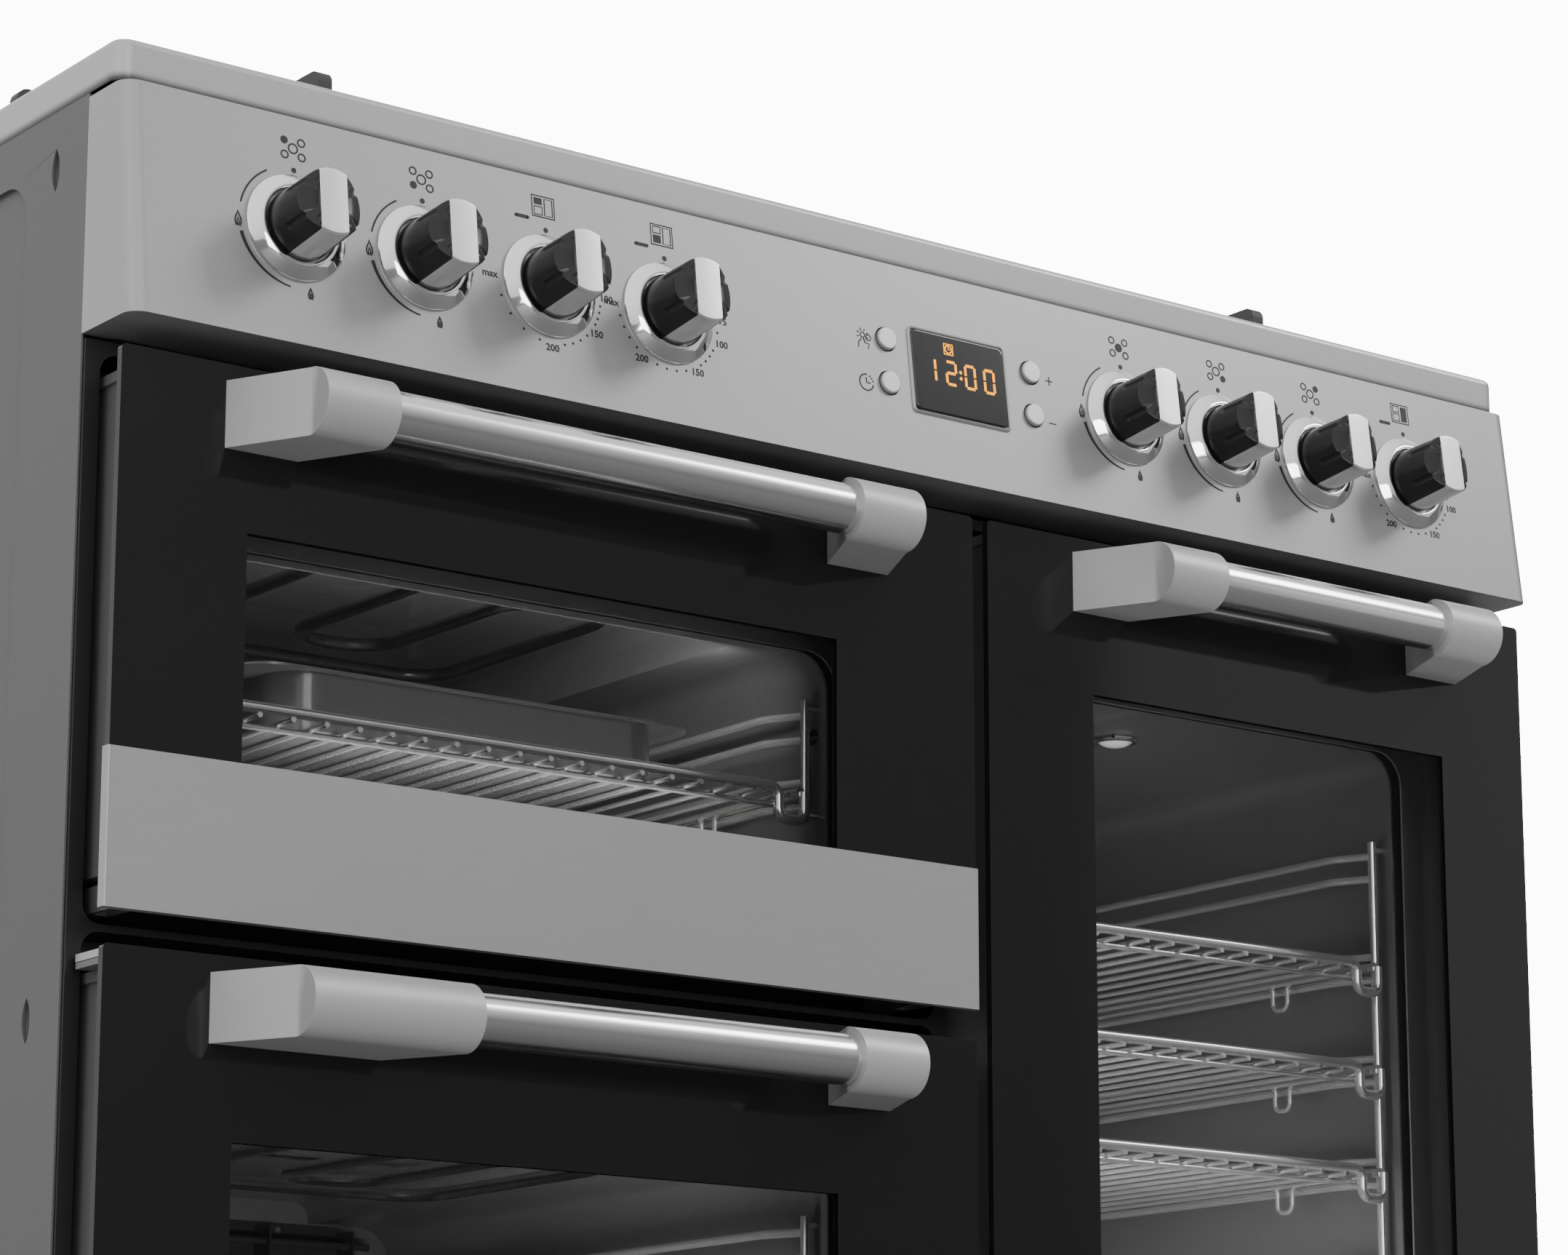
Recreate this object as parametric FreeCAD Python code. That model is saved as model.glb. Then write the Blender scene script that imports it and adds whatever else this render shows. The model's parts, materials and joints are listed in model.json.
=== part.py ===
import FreeCAD, Part
import math
import os
from collections import namedtuple

# Range cooker, 900 mm wide: gas hob above three ovens, each with its own door.
# Working frame: X to the right, Y from the front face of the hob towards the wall, Z up from the floor.
# Everything is built in this frame and moved along Y when it is written, so that the origin lies under
# the middle of the whole cooker's box.

V = FreeCAD.Vector
X_AXIS = V(1, 0, 0)
Y_AXIS = V(0, 1, 0)
Z_AXIS = V(0, 0, 1)

# ---------------------------------------------------------------- driving dimensions (mm)
# body
body_width = 900.0
body_depth = 600.0
hob_height = 900.0
sheet = 1.2                     # body, fascia and door sheet steel
cavity_sheet = 1.0              # enamelled oven sheet
base_height = 40.0              # underside of the base tray above the floor
base_lip = 22.0                 # upturned edge of the base tray
side_setback = 26.0             # front edge of the side panels behind the hob's front face
side_emboss_front = 84.0        # pressed field of the side panels: its front edge
side_emboss_back_margin = 55.0
side_emboss_top_drop = 45.0     # below the hob's top
side_emboss_bottom_rise = 90.0  # above the base tray
side_emboss_depth = 2.5
side_emboss_corner = 22.0
dimple_height = 21.0            # lens-shaped dimples along the front edge of the side panels
dimple_width = 7.6
dimple_y = 57.0
dimple_drops = (50.0, 450.0, 780.0)

# back: cable gland, stability bracket holes
cable_hole_radius = 11.0
gland_bore_radius = 7.0
gland_length = 12.0
terminal_half = 32.0
terminal_depth = 38.0
bracket_hole_radius = 3.5
stability_hole_x = 350.0

# hob
hob_rim_height = 21.0
hob_corner = 9.0
hob_edge = 4.0
dish_side_margin = 25.0
dish_front_margin = 28.0
dish_back_margin = 80.0
dish_depth = 9.0
dish_corner = 22.0
vent_slot_length = 34.0
vent_slot_width = 5.0
vent_slot_count = 18
vent_slot_pitch = 44.0
burner_x = 310.0                # left and right pairs of burners from the middle
burner_front_y = 165.0
burner_back_y = 405.0
wok_y = 285.0
burner_crown_height = 12.0
burner_cup_depth = 22.0
burner_cap_thickness = 7.0
burner_hole_gap = 0.3
burner_flange_thickness = 2.0
wok_radius = 65.0
wok_inner_radius = 26.0
flame_port_width = 2.2
flame_port_depth = 5.0

# pan supports
grate_front_y = 50.0
grate_back_y = 500.0
grate_side_gap = 6.0            # grate to the wall of the dish
grate_between = 8.0
grate_centre_half = 150.0
grate_bar = 8.0
grate_bar_height = 10.0
grate_foot = 5.0
grate_top_rise = 30.0           # fingers above the hob's top
grate_rest_gap = 0.3
grate_centre_finger_start = 100.0
grate_burner_gap = 3.0          # pan supports to the burners
finger_corner = 6.0

# fascia with the controls
seam_gap = 2.0                  # hob rim to fascia
fascia_height = 114.0
fascia_top_proud = 7.5          # fascia in front of the hob at its top edge
fascia_tilt = 6.75              # degrees, lower edge further forward
fascia_corner = 9.0
fascia_hem = 14.0               # folded edge at the ends of the fascia's floor
fascia_floor_gap = 0.5          # fascia's floor to the front frame
knob_drop = 79.5                # knob axes below the hob's top
knob_first_x = 150.0            # knob axes from the middle
knob_pitch = 70.7
knobs_each_side = 4
knob_radius = 17.6
knob_face_radius = 16.6
knob_face_height = 34.5         # knob face in front of the fascia
knob_back_height = 3.9
knob_facet_drop = 5.0
knob_facet_step = 0.6
knob_groove_radius = 1.6
knob_groove_length = 18.0
knob_groove_angle = 31.0
insert_width = 14.5
insert_thickness = 2.0
bezel_radius = 26.7
bezel_height = 5.3
bezel_lip = 1.0
bezel_crest_width = 0.6
bezel_knob_gap = 1.2
spindle_radius = 4.0
spindle_fit = 0.05
spindle_reach = 15.0            # spindle tip in front of the fascia
spindle_back = 30.0
spindle_bore_end = 19.0
fascia_spindle_hole = 6.5
tap_radius = 11.0
tap_nose_gap = 7.0              # fascia front to the tap's nose
rail_depth = 54.0               # gas rail axis behind the fascia's front
rail_radius = 9.0
rail_overrun = 30.0
rail_foot = 12.0                # posts that carry the rail on the front frame
rail_foot_xs = (-260.0, 60.0, 390.0)
inlet_radius = 10.48            # half-inch pipe thread, outside
inlet_length = 16.0             # threaded length that stands out of the back
inlet_x = 400.0
inlet_hole_gap = 2.5
switch_half = 18.0
switch_front = 10.0
switch_depth = 30.0
display_centre_x = 35.0
display_width = 62.0
display_height = 45.0
display_proud = 1.6
display_corner = 4.0
display_edge = 1.2
display_drop = 79.0
display_plug_gap = 0.2
button_radius = 6.0
button_hole_gap = 0.7
button_proud = 2.2
button_inside = 6.5
button_travel = 1.5
button_left_x = -12.0
button_right_x = 84.6
button_drop = 78.0              # middle of the two rows below the hob's top
button_spread = 24.0
timer_case_half = 60.0
timer_case_height = 56.0
timer_case_depth = 34.0

# doors
door_top_gap = 13.0             # fascia to the doors
door_side_inset = 1.2
left_door_width = 494.8
column_gap = 10.0
top_left_door_height = 256.0
row_gap = 17.0
door_bottom_height = 112.0
door_proud = 11.0               # glass in front of the hob's front face
glass_thickness = 4.0
glass_corner = 2.5
liner_back = 42.0               # back of the door liner behind the hob's front face
liner_side_inset = 12.8         # liner behind the glass edge, outer side
liner_free_inset = 6.0          # liner behind the glass edge, free side
liner_drop = 8.0                # liner top below the glass top
top_liner_drop = 5.0
liner_rise = 6.0                # liner bottom above the glass bottom
top_liner_rise = 18.0
liner_cap_height = 5.0
liner_cap_over = 1.7
inner_glass_margin = 14.0
trim_height = 71.0
trim_wrap = 5.4

# front frame and door recesses
frame_proud = 2.0               # frame in front of the side panels
frame_top_gap = 2.0             # frame below the fascia
frame_bottom_drop = 10.0        # frame below the doors
frame_flange = 26.0
recess_depth = 26.0
recess_side = 9.0               # recess edge from the body's side
recess_post = 8.0               # post between the two door columns
recess_top_over = 5.0
recess_bottom_over = 4.0
recess_row_over = 2.5
recess_row_ridge = 3.5
recess_corner = 9.0
plinth_setback = 45.0
plinth_floor_gap = 12.0
seal_width = 9.0
seal_margin = 6.0
seal_liner_gap = 0.4

# ovens
left_cavity_width = 400.0
right_cavity_width = 308.0
cavity_depth = 418.0
cavity_corner = 20.0
cavity_flange = 14.0
ceiling_drop = 219.0            # upper oven mouths below the hob's top
top_left_floor_rise = 41.0      # oven floors above the lower edge of their doors
lower_left_ceiling_drop = 59.0  # below the upper edge of its door
oven_floor_rise = 38.0
grill_vault_half = 146.0        # raised middle of the left ovens' ceilings, for the grill element
grill_vault_front = 11.0
grill_vault_corner = 10.0
top_vault_rise = 24.0
lower_vault_rise = 12.0
wall_hole_radius = 4.5          # hole in the top oven's side walls, behind the rail posts
wall_hole_drop = 260.0
wall_hole_inset = 11.5

# shelf rails and racks
wire = 2.5                      # radius of the rail and rack side wires
rack_front_wire = 2.8
rack_bar_wire = 1.4
rack_cross_wire = 1.6
rack_cross_back = 14.0          # cross wire behind the front wire
rail_wall_gap = 5.0
rail_rung_inset = 10.0
rail_front = 8.8                # front post behind the recess floor plate
rail_length = 380.0
rail_splay = 22.0
rung_gap = 13.0                 # between the two wires of one shelf level
rung_pitch = 58.2
right_rung_drop = 277.5         # upper wire of the highest level below the hob's top
right_levels = 8
top_rung_drop = 250.0
top_rung_pitch = 35.5
top_levels = 2
lower_rung_drop = 35.0          # below the lower oven's ceiling
lower_levels = 4
post_overrun = 8.0
rack_front = -1.2               # rack front wire behind the recess floor plate
rack_length = 390.0
rack_rest_gap = 0.3
rack_loop_drop = 15.2
rack_loop_width = 16.5
rack_loop_over = 2.0
rack_bar_pitch = 18.0
rack_edge_bar = 9.0
stop_front = 62.0               # stop loop behind the rack's front wire
stop_width = 12.0
stop_depth = 15.0
pan_rim_half = 132.0
pan_body_half = 112.0
pan_front_gap = 16.0
pan_length = 280.0
pan_height = 30.0
pan_corner = 22.0
pan_rest_gap = 0.3

# heaters and fan
element_radius = 3.5
element_vault_gap = 14.0        # grill element below the raised ceiling
element_bend = 23.0
element_end_bend = 7.0
grill_inner_half = 27.5
grill_outer_half = 88.0
grill_front = 28.0              # grill element's turns behind the oven's front
grill_inner_back = 164.0
grill_outer_back = 206.0
ceiling_element_gap = 14.0      # right oven's element below its ceiling
ceiling_element_half = 70.0
ceiling_element_reach = 170.0
fan_ring_radius = 78.0
fan_radius = 62.0
fan_hub_radius = 12.0
fan_blades = 10
fan_blade_depth = 16.0
fan_shaft_radius = 4.0
fan_shaft_hole = 5.0
fan_stand_off = 5.0
fan_cover_half = 104.0
fan_cover_stand = 32.0
fan_cover_corner = 16.0
fan_slots = 28
motor_radius = 38.0
motor_length = 60.0

bulb_radius = 2.0               # thermostat bulb and its clip on an oven's back wall
bulb_length = 150.0
bulb_drop = 13.0
right_bulb_drop = 45.0
bulb_stand = 14.0
bulb_wall_gap = 22.0
clip_length = 104.0
clip_half = 12.0
clip_hole = 2.2

# handles
handle_drop = 24.0              # handle axis below the door's top edge
handle_stand = 41.0             # tube axis in front of the glass
handle_tube_radius = 12.5
bracket_radius = 16.0
bracket_width = 38.6
bracket_long_width = 89.0       # hinge-side bracket of the lower left door
bracket_shift = 20.4            # brackets lean towards the middle of the door
left_bracket_inset = 53.8
left_bracket_free_inset = 56.2
right_bracket_inset = 58.0
right_bracket_free_inset = 51.6
bracket_end_wall = 6.0

# hinges
pin_radius = 3.0
pin_fit = 0.05
side_pin_inset = 9.0            # vertical hinge axes from the body's side
hinge_plate = 3.0
hinge_gap = 0.3
hinge_bracket_plate = 3.5
hinge_wall_gap = 3.5            # hinge brackets to the side of the door recess
hinge_inner = 14.0
hinge_tab_wall = 1.7            # metal round a vertical pin hole; the door's glass turns just clear of it
top_pin_rise = 8.0              # axis of the drop-down door above its lower edge
drop_hinge_side = 18.5          # drop-down hinges from the door's edges
drop_arm = 6.0
drop_ear = 2.5
drop_ear_radius = 6.0

# feet
foot_radius = 21.0
foot_pad = 12.0
foot_stem = 6.0
foot_inset_x = 60.0
foot_inset_front = 90.0
foot_inset_back = 60.0

# ---------------------------------------------------------------- derived planes
half = body_width / 2
inner_half = half - sheet
rim_bottom_z = hob_height - hob_rim_height
fascia_top_z = rim_bottom_z - seam_gap
fascia_bottom_z = fascia_top_z - fascia_height
door_top_z = fascia_bottom_z - door_top_gap
frame_y = side_setback - frame_proud
floor_y = frame_y + recess_depth
cavity_front_y = floor_y + sheet
cavity_back_y = cavity_front_y + cavity_depth
glass_y = -door_proud
glass_back_y = glass_y + glass_thickness
tube_y = glass_y - handle_stand
foremost_y = tube_y - bracket_radius
rearmost_y = body_depth + inlet_length
shift_y = -(foremost_y + rearmost_y) / 2
tilt = math.radians(fascia_tilt)
OUTWARD = V(0, -math.cos(tilt), math.sin(tilt))

Face = namedtuple("Face", "x0 x1 z0 z1")

left_x0 = -half + door_side_inset
left_x1 = left_x0 + left_door_width
right_x0 = left_x1 + column_gap
right_x1 = half - door_side_inset
top_left_z0 = door_top_z - top_left_door_height
lower_left_z1 = top_left_z0 - row_gap
doors = {
    "top_left": Face(left_x0, left_x1, top_left_z0, door_top_z),
    "lower_left": Face(left_x0, left_x1, door_bottom_height, lower_left_z1),
    "right": Face(right_x0, right_x1, door_bottom_height, door_top_z),
}
post_x = left_x1 + column_gap / 2
recess_floor_z = door_bottom_height - recess_bottom_over
recess_top_z = door_top_z + recess_top_over
top_recess_z0 = top_left_z0 - recess_row_over
recesses = {
    "top_left": Face(-half + recess_side, post_x - recess_post / 2, top_recess_z0, recess_top_z),
    "lower_left": Face(-half + recess_side, post_x - recess_post / 2, recess_floor_z,
                       top_recess_z0 - recess_row_ridge),
    "right": Face(post_x + recess_post / 2, half - recess_side, recess_floor_z, recess_top_z),
}
left_middle = (left_x0 + left_x1) / 2
right_middle = (right_x0 + right_x1) / 2
upper_ceiling_z = hob_height - ceiling_drop
cavities = {
    "top_left": Face(left_middle - left_cavity_width / 2, left_middle + left_cavity_width / 2,
                     top_left_z0 + top_left_floor_rise, upper_ceiling_z),
    "lower_left": Face(left_middle - left_cavity_width / 2, left_middle + left_cavity_width / 2,
                       door_bottom_height + oven_floor_rise, lower_left_z1 - lower_left_ceiling_drop),
    "right": Face(right_middle - right_cavity_width / 2, right_middle + right_cavity_width / 2,
                  door_bottom_height + oven_floor_rise, upper_ceiling_z),
}


vault_rise = {"top_left": top_vault_rise, "lower_left": lower_vault_rise}


# ---------------------------------------------------------------- building blocks
def box(x0, x1, y0, y1, z0, z1):
    return Part.makeBox(x1 - x0, y1 - y0, z1 - z0, V(x0, y0, z0))


def cylinder(radius, start, direction, length):
    return Part.makeCylinder(radius, length, start, direction)


def fused(shapes):
    result = shapes[0].multiFuse(shapes[1:]) if len(shapes) > 1 else shapes[0]
    result = result.removeSplitter()
    return result.Solids[0] if len(result.Solids) == 1 else result


def cut(shape, tools):
    return shape.cut(Part.makeCompound(tools))


def rounded_outline(a0, a1, b0, b1, radius, place):
    """Closed wire of a rectangle with round corners; place(a, b) gives the point in space."""
    radius = min(radius, (a1 - a0) / 2.01, (b1 - b0) / 2.01)
    corners = [(a1 - radius, b0 + radius, -90), (a1 - radius, b1 - radius, 0),
               (a0 + radius, b1 - radius, 90), (a0 + radius, b0 + radius, 180)]
    edges = []
    previous = None
    first = None
    for centre_a, centre_b, start in corners:
        def at(angle):
            turn = math.radians(angle)
            return place(centre_a + radius * math.cos(turn), centre_b + radius * math.sin(turn))
        begin, middle, end = at(start), at(start + 45), at(start + 90)
        if previous is not None and (begin - previous).Length > 1e-6:
            edges.append(Part.LineSegment(previous, begin).toShape())
        edges.append(Part.Arc(begin, middle, end).toShape())
        previous = end
        first = first or begin
    edges.append(Part.LineSegment(previous, first).toShape())
    return Part.Wire(edges)


def slab_y(face, radius, y0, y1, grow=0.0):
    """Rounded rectangle in X and Z, from y0 to y1."""
    wire_loop = rounded_outline(face.x0 - grow, face.x1 + grow, face.z0 - grow, face.z1 + grow,
                                max(radius + grow, 0.5), lambda a, b: V(a, y0, b))
    return Part.Face(wire_loop).extrude(V(0, y1 - y0, 0))


def slab_z(x0, x1, y0, y1, radius, z0, z1):
    """Rounded rectangle in X and Y, from z0 to z1."""
    wire_loop = rounded_outline(x0, x1, y0, y1, radius, lambda a, b: V(a, b, z0))
    return Part.Face(wire_loop).extrude(V(0, 0, z1 - z0))


def slab_x(y0, y1, z0, z1, radius, x0, x1):
    """Rounded rectangle in Y and Z, from x0 to x1."""
    wire_loop = rounded_outline(y0, y1, z0, z1, radius, lambda a, b: V(x0, a, b))
    return Part.Face(wire_loop).extrude(V(x1 - x0, 0, 0))


def prism(points, along):
    """Flat polygon pushed along a vector."""
    return Part.Face(Part.makePolygon(points + [points[0]])).extrude(along)


def bent_rod(points, radius, bend, end_bend=None):
    """Round rod through the points, each corner turned with an arc of the bend radius."""
    edges = []
    start = points[0]
    inside_bend = bend
    for i in range(1, len(points) - 1):
        corner = points[i]
        at_end = end_bend is not None and i in (1, len(points) - 2)
        bend = end_bend if at_end else inside_bend
        before = (corner - points[i - 1]).normalize()
        after = (points[i + 1] - corner).normalize()
        turn = before.getAngle(after)
        trim = bend * math.tan(turn / 2)
        begin = corner - before * trim
        end = corner + after * trim
        inward = (after - before).normalize()
        middle = corner + inward * (bend / math.cos(turn / 2) - bend)
        if (begin - start).Length > 1e-6:
            edges.append(Part.LineSegment(start, begin).toShape())
        edges.append(Part.Arc(begin, middle, end).toShape())
        start = end
    edges.append(Part.LineSegment(start, points[-1]).toShape())
    path = Part.Wire(edges)
    heading = (points[1] - points[0]).normalize()
    section = Part.Wire([Part.Circle(points[0], heading, radius).toShape()])
    return path.makePipeShell([section], True, False)


def revolved(profile):
    """Solid of revolution about Z from (radius, height) points."""
    points = [V(r, 0, h) for r, h in profile]
    return Part.Face(Part.makePolygon(points + [points[0]])).revolve(V(0, 0, 0), Z_AXIS, 360)


def fascia_point_y(z):
    """Y of the fascia's front face at height z."""
    return -fascia_top_proud - (fascia_top_z - z) * math.tan(tilt)


def on_fascia(shape, x, z):
    """Moves a shape built with Z outwards and Y up onto the fascia's front face."""
    placed = shape.copy()
    rotation = FreeCAD.Rotation(X_AXIS, 90 - fascia_tilt)
    placed.Placement = FreeCAD.Placement(V(x, fascia_point_y(z), z), rotation).multiply(placed.Placement)
    return placed


def save(name, solids):
    """Writes one node; its solids must be closed and valid."""
    pieces = []
    for solid in solids:
        pieces.extend(solid.Solids)
    for piece in pieces:
        if not piece.isValid():
            print("not valid:", name)
    group = pieces[0].copy() if len(pieces) == 1 else Part.makeCompound(pieces)
    group.translate(V(0, shift_y, 0))
    group.exportStep("parts/" + name + ".step")


# ---------------------------------------------------------------- body panels
def lens(z, grow, x0, x1):
    """Lens-shaped block of the side panel's dimples."""
    half_width = dimple_width / 2 + grow
    half_height = dimple_height / 2 + 2 * grow
    low, high = V(x0, dimple_y, z - half_height), V(x0, dimple_y, z + half_height)
    front = Part.Arc(low, V(x0, dimple_y - half_width, z), high).toShape()
    back = Part.Arc(high, V(x0, dimple_y + half_width, z), low).toShape()
    return Part.Face(Part.Wire([front, back])).extrude(V(x1 - x0, 0, 0))


def side_panel(side):
    """Pressed side sheet; side is -1 on the left and +1 on the right."""
    y0, y1 = side_setback, body_depth - sheet
    z0, z1 = base_height, rim_bottom_z
    field = (side_emboss_front, body_depth - side_emboss_back_margin,
             base_height + side_emboss_bottom_rise, hob_height - side_emboss_top_drop)
    plate = box(inner_half, half, y0, y1, z0, z1)
    hole = slab_x(*field, side_emboss_corner, inner_half - 1, half + 1)
    tray_outer = slab_x(*field, side_emboss_corner, inner_half - side_emboss_depth, half)
    tray_inner = slab_x(field[0] + sheet, field[1] - sheet, field[2] + sheet, field[3] - sheet,
                        side_emboss_corner - sheet, half - side_emboss_depth, half + 1)
    panel = fused([plate.cut(hole), tray_outer.cut(tray_inner)])
    for drop in dimple_drops:
        z = hob_height - drop
        pocket = lens(z, 0.0, half - side_emboss_depth, half + 1)
        shell = lens(z, sheet, inner_half - side_emboss_depth, half)
        panel = fused([panel.cut(lens(z, sheet, inner_half - 1, half + 1)), shell]).cut(pocket)
    return panel if side > 0 else panel.mirror(V(0, 0, 0), X_AXIS)


def back_panel():
    panel = box(-inner_half, inner_half, body_depth - sheet, body_depth, base_height, rim_bottom_z)
    holes = [cylinder(inlet_radius + inlet_hole_gap, V(inlet_x, body_depth - 10, rail_z), Y_AXIS, 20)]
    holes.append(cylinder(cable_hole_radius, V(-inlet_x, body_depth - 10, rail_z), Y_AXIS, 20))
    louvre = Face(-17.0, 17.0, -3.0, 3.0)
    for column in range(-4, 5):
        for row in range(6):
            x = column * 70.0
            z = hob_height / 2 + row * 22.0
            hole = Face(x + louvre.x0, x + louvre.x1, z + louvre.z0, z + louvre.z1)
            holes.append(slab_y(hole, 3.0, body_depth - 5, body_depth + 5))
    for side in (-1, 1):
        for z in (base_height + 25.0, rim_bottom_z - 60.0):
            holes.append(cylinder(bracket_hole_radius, V(side * stability_hole_x, body_depth - 5, z),
                                  Y_AXIS, 10))
    return cut(panel, holes)


def mains_terminal_box():
    """Plastic box inside the back, with the cable gland through the back panel."""
    y1 = body_depth - sheet
    outer = slab_y(Face(-inlet_x - terminal_half, -inlet_x + terminal_half, rail_z - terminal_half,
                        rail_z + terminal_half), 5.0, y1 - terminal_depth, y1)
    inner = slab_y(Face(-inlet_x - terminal_half, -inlet_x + terminal_half, rail_z - terminal_half,
                        rail_z + terminal_half), 5.0, y1 - terminal_depth + 2.5, y1 - 2.5, -2.5)
    gland = cylinder(cable_hole_radius - 0.2, V(-inlet_x, y1 - 3, rail_z), Y_AXIS, 3 + sheet + gland_length)
    bore = cylinder(gland_bore_radius, V(-inlet_x, y1 - 5, rail_z), Y_AXIS, 10 + gland_length)
    return cut(fused([outer, gland]), [inner, bore])


def base_tray():
    y0 = plinth_setback + sheet
    y1 = body_depth - sheet
    outer = box(-inner_half, inner_half, y0, y1, base_height, base_height + base_lip)
    inner = box(-inner_half + sheet, inner_half - sheet, y0 + sheet, y1 - sheet,
                base_height + sheet, base_height + base_lip + 1)
    return outer.cut(inner)


def plinth():
    top = door_bottom_height - frame_bottom_drop
    front = box(-inner_half, inner_half, plinth_setback, plinth_setback + sheet, plinth_floor_gap, top)
    fold = box(-inner_half, inner_half, plinth_setback - 12, plinth_setback + sheet,
               plinth_floor_gap, plinth_floor_gap + sheet)
    return fused([front, fold])


def levelling_feet():
    feet = []
    for x in (-half + foot_inset_x, half - foot_inset_x):
        for y in (foot_inset_front, body_depth - foot_inset_back):
            pad = Part.makeCone(foot_radius, foot_radius * 0.8, foot_pad, V(x, y, 0), Z_AXIS)
            stem = cylinder(foot_stem, V(x, y, foot_pad - 1), Z_AXIS, base_height - foot_pad + 1)
            feet.append(fused([pad, stem]))
    return feet


def front_frame():
    """Pressed frame behind the doors, with a recess for each door and a mouth for each oven."""
    z0 = door_bottom_height - frame_bottom_drop
    z1 = fascia_bottom_z - frame_top_gap
    ring = box(-inner_half, inner_half, frame_y, frame_y + sheet, z0, z1)
    ring = cut(ring, [slab_y(r, recess_corner, frame_y - 1, frame_y + 2) for r in recesses.values()])
    parts = [ring]
    for name, recess in recesses.items():
        shell = slab_y(recess, recess_corner, frame_y, cavity_front_y, sheet)
        pocket = slab_y(recess, recess_corner, frame_y - 1, floor_y)
        mouth = slab_y(cavities[name], cavity_corner, floor_y - 1, cavity_front_y + 1)
        parts.append(cut(shell, [pocket, mouth]))
    back = frame_y + frame_flange
    parts.append(box(-inner_half, inner_half, frame_y, back, z1 - sheet, z1))
    parts.append(box(-inner_half, inner_half, frame_y, back, z0, z0 + sheet))
    for side in (-1, 1):
        x0, x1 = sorted((side * (inner_half - sheet), side * inner_half))
        parts.append(box(x0, x1, frame_y, back, z0, z1))
    return fused(parts)


# ---------------------------------------------------------------- hob
dish_z = hob_height - dish_depth
burners = [
    ("rear_left", -burner_x, burner_back_y, 46.0),
    ("front_left", -burner_x, burner_front_y, 36.0),
    ("front_right", burner_x, burner_front_y, 27.0),
    ("rear_right", burner_x, burner_back_y, 36.0),
]
burner_neck = 6.0               # the cup under the hob is this much narrower than the crown


def hob_tray():
    outer = slab_z(-half, half, 0, body_depth, hob_corner, rim_bottom_z, hob_height)
    top_edges = [e for e in outer.Edges if abs(e.BoundBox.ZMin - hob_height) < 1e-6]
    outer = outer.makeFillet(hob_edge, top_edges)
    inner = slab_z(-half + sheet, half - sheet, sheet, body_depth - sheet, hob_corner - sheet,
                   rim_bottom_z - 1, hob_height - sheet)
    x0, x1 = -half + dish_side_margin, half - dish_side_margin
    y0, y1 = dish_front_margin, body_depth - dish_back_margin
    dish_outer = slab_z(x0 - sheet, x1 + sheet, y0 - sheet, y1 + sheet, dish_corner + sheet,
                        dish_z - sheet, hob_height - sheet)
    dish_inner = slab_z(x0, x1, y0, y1, dish_corner, dish_z, hob_height + 1)
    tray = fused([outer.cut(inner), dish_outer])
    tools = [dish_inner]
    for _, x, y, radius in burners + [("wok", 0.0, wok_y, wok_radius)]:
        tools.append(cylinder(radius - burner_neck + burner_hole_gap, V(x, y, dish_z - 5), Z_AXIS, 10))
    vent_y = body_depth - dish_back_margin / 2
    for i in range(vent_slot_count):
        x = (i - (vent_slot_count - 1) / 2) * vent_slot_pitch
        tools.append(slab_z(x - vent_slot_length / 2, x + vent_slot_length / 2,
                            vent_y - vent_slot_width / 2, vent_y + vent_slot_width / 2,
                            vent_slot_width / 2, hob_height - 3, hob_height + 1))
    return cut(tray, tools)


def ported_crown(x, y, radius, z0, z1):
    """Burner crown with flame ports round its upper edge."""
    crown = cylinder(radius, V(x, y, z0), Z_AXIS, z1 - z0)
    count = int(radius * 0.7)
    ports = []
    for i in range(count):
        port = box(radius - flame_port_depth, radius + 1, -flame_port_width / 2, flame_port_width / 2,
                   z1 - flame_port_depth, z1 + 1)
        port.rotate(V(0, 0, 0), Z_AXIS, 360.0 * i / count)
        port.translate(V(x, y, 0))
        ports.append(port)
    return cut(crown, ports)


def burner_body(x, y, radius):
    cup = cylinder(radius - burner_neck, V(x, y, dish_z - burner_cup_depth), Z_AXIS, burner_cup_depth)
    crown_z = dish_z + burner_flange_thickness
    flange = cylinder(radius + 4, V(x, y, dish_z), Z_AXIS, burner_flange_thickness)
    crown = ported_crown(x, y, radius, crown_z, dish_z + burner_crown_height)
    return fused([cup, flange, crown])


def burner_cap(x, y, radius):
    cap = cylinder(radius + 1.5, V(x, y, dish_z + burner_crown_height), Z_AXIS, burner_cap_thickness)
    upper = [e for e in cap.Edges if abs(e.BoundBox.ZMin - cap.BoundBox.ZMax) < 1e-6]
    return cap.makeFillet(burner_cap_thickness * 0.4, upper)


def wok_body():
    """Double-ring burner: an outer ring with an open channel round an inner crown."""
    body = burner_body(0, wok_y, wok_radius)
    z0 = dish_z + burner_flange_thickness
    channel_outer = cylinder(wok_radius - 16, V(0, wok_y, z0), Z_AXIS, burner_crown_height)
    channel_inner = cylinder(wok_inner_radius, V(0, wok_y, z0 - 1), Z_AXIS, burner_crown_height + 2)
    return body.cut(channel_outer.cut(channel_inner))


def wok_caps():
    z = dish_z + burner_crown_height
    ring = cylinder(wok_radius + 1.5, V(0, wok_y, z), Z_AXIS, burner_cap_thickness)
    ring = ring.cut(cylinder(wok_radius - 18, V(0, wok_y, z - 1), Z_AXIS, burner_cap_thickness + 2))
    return [ring, burner_cap(0, wok_y, wok_inner_radius)]


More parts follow.
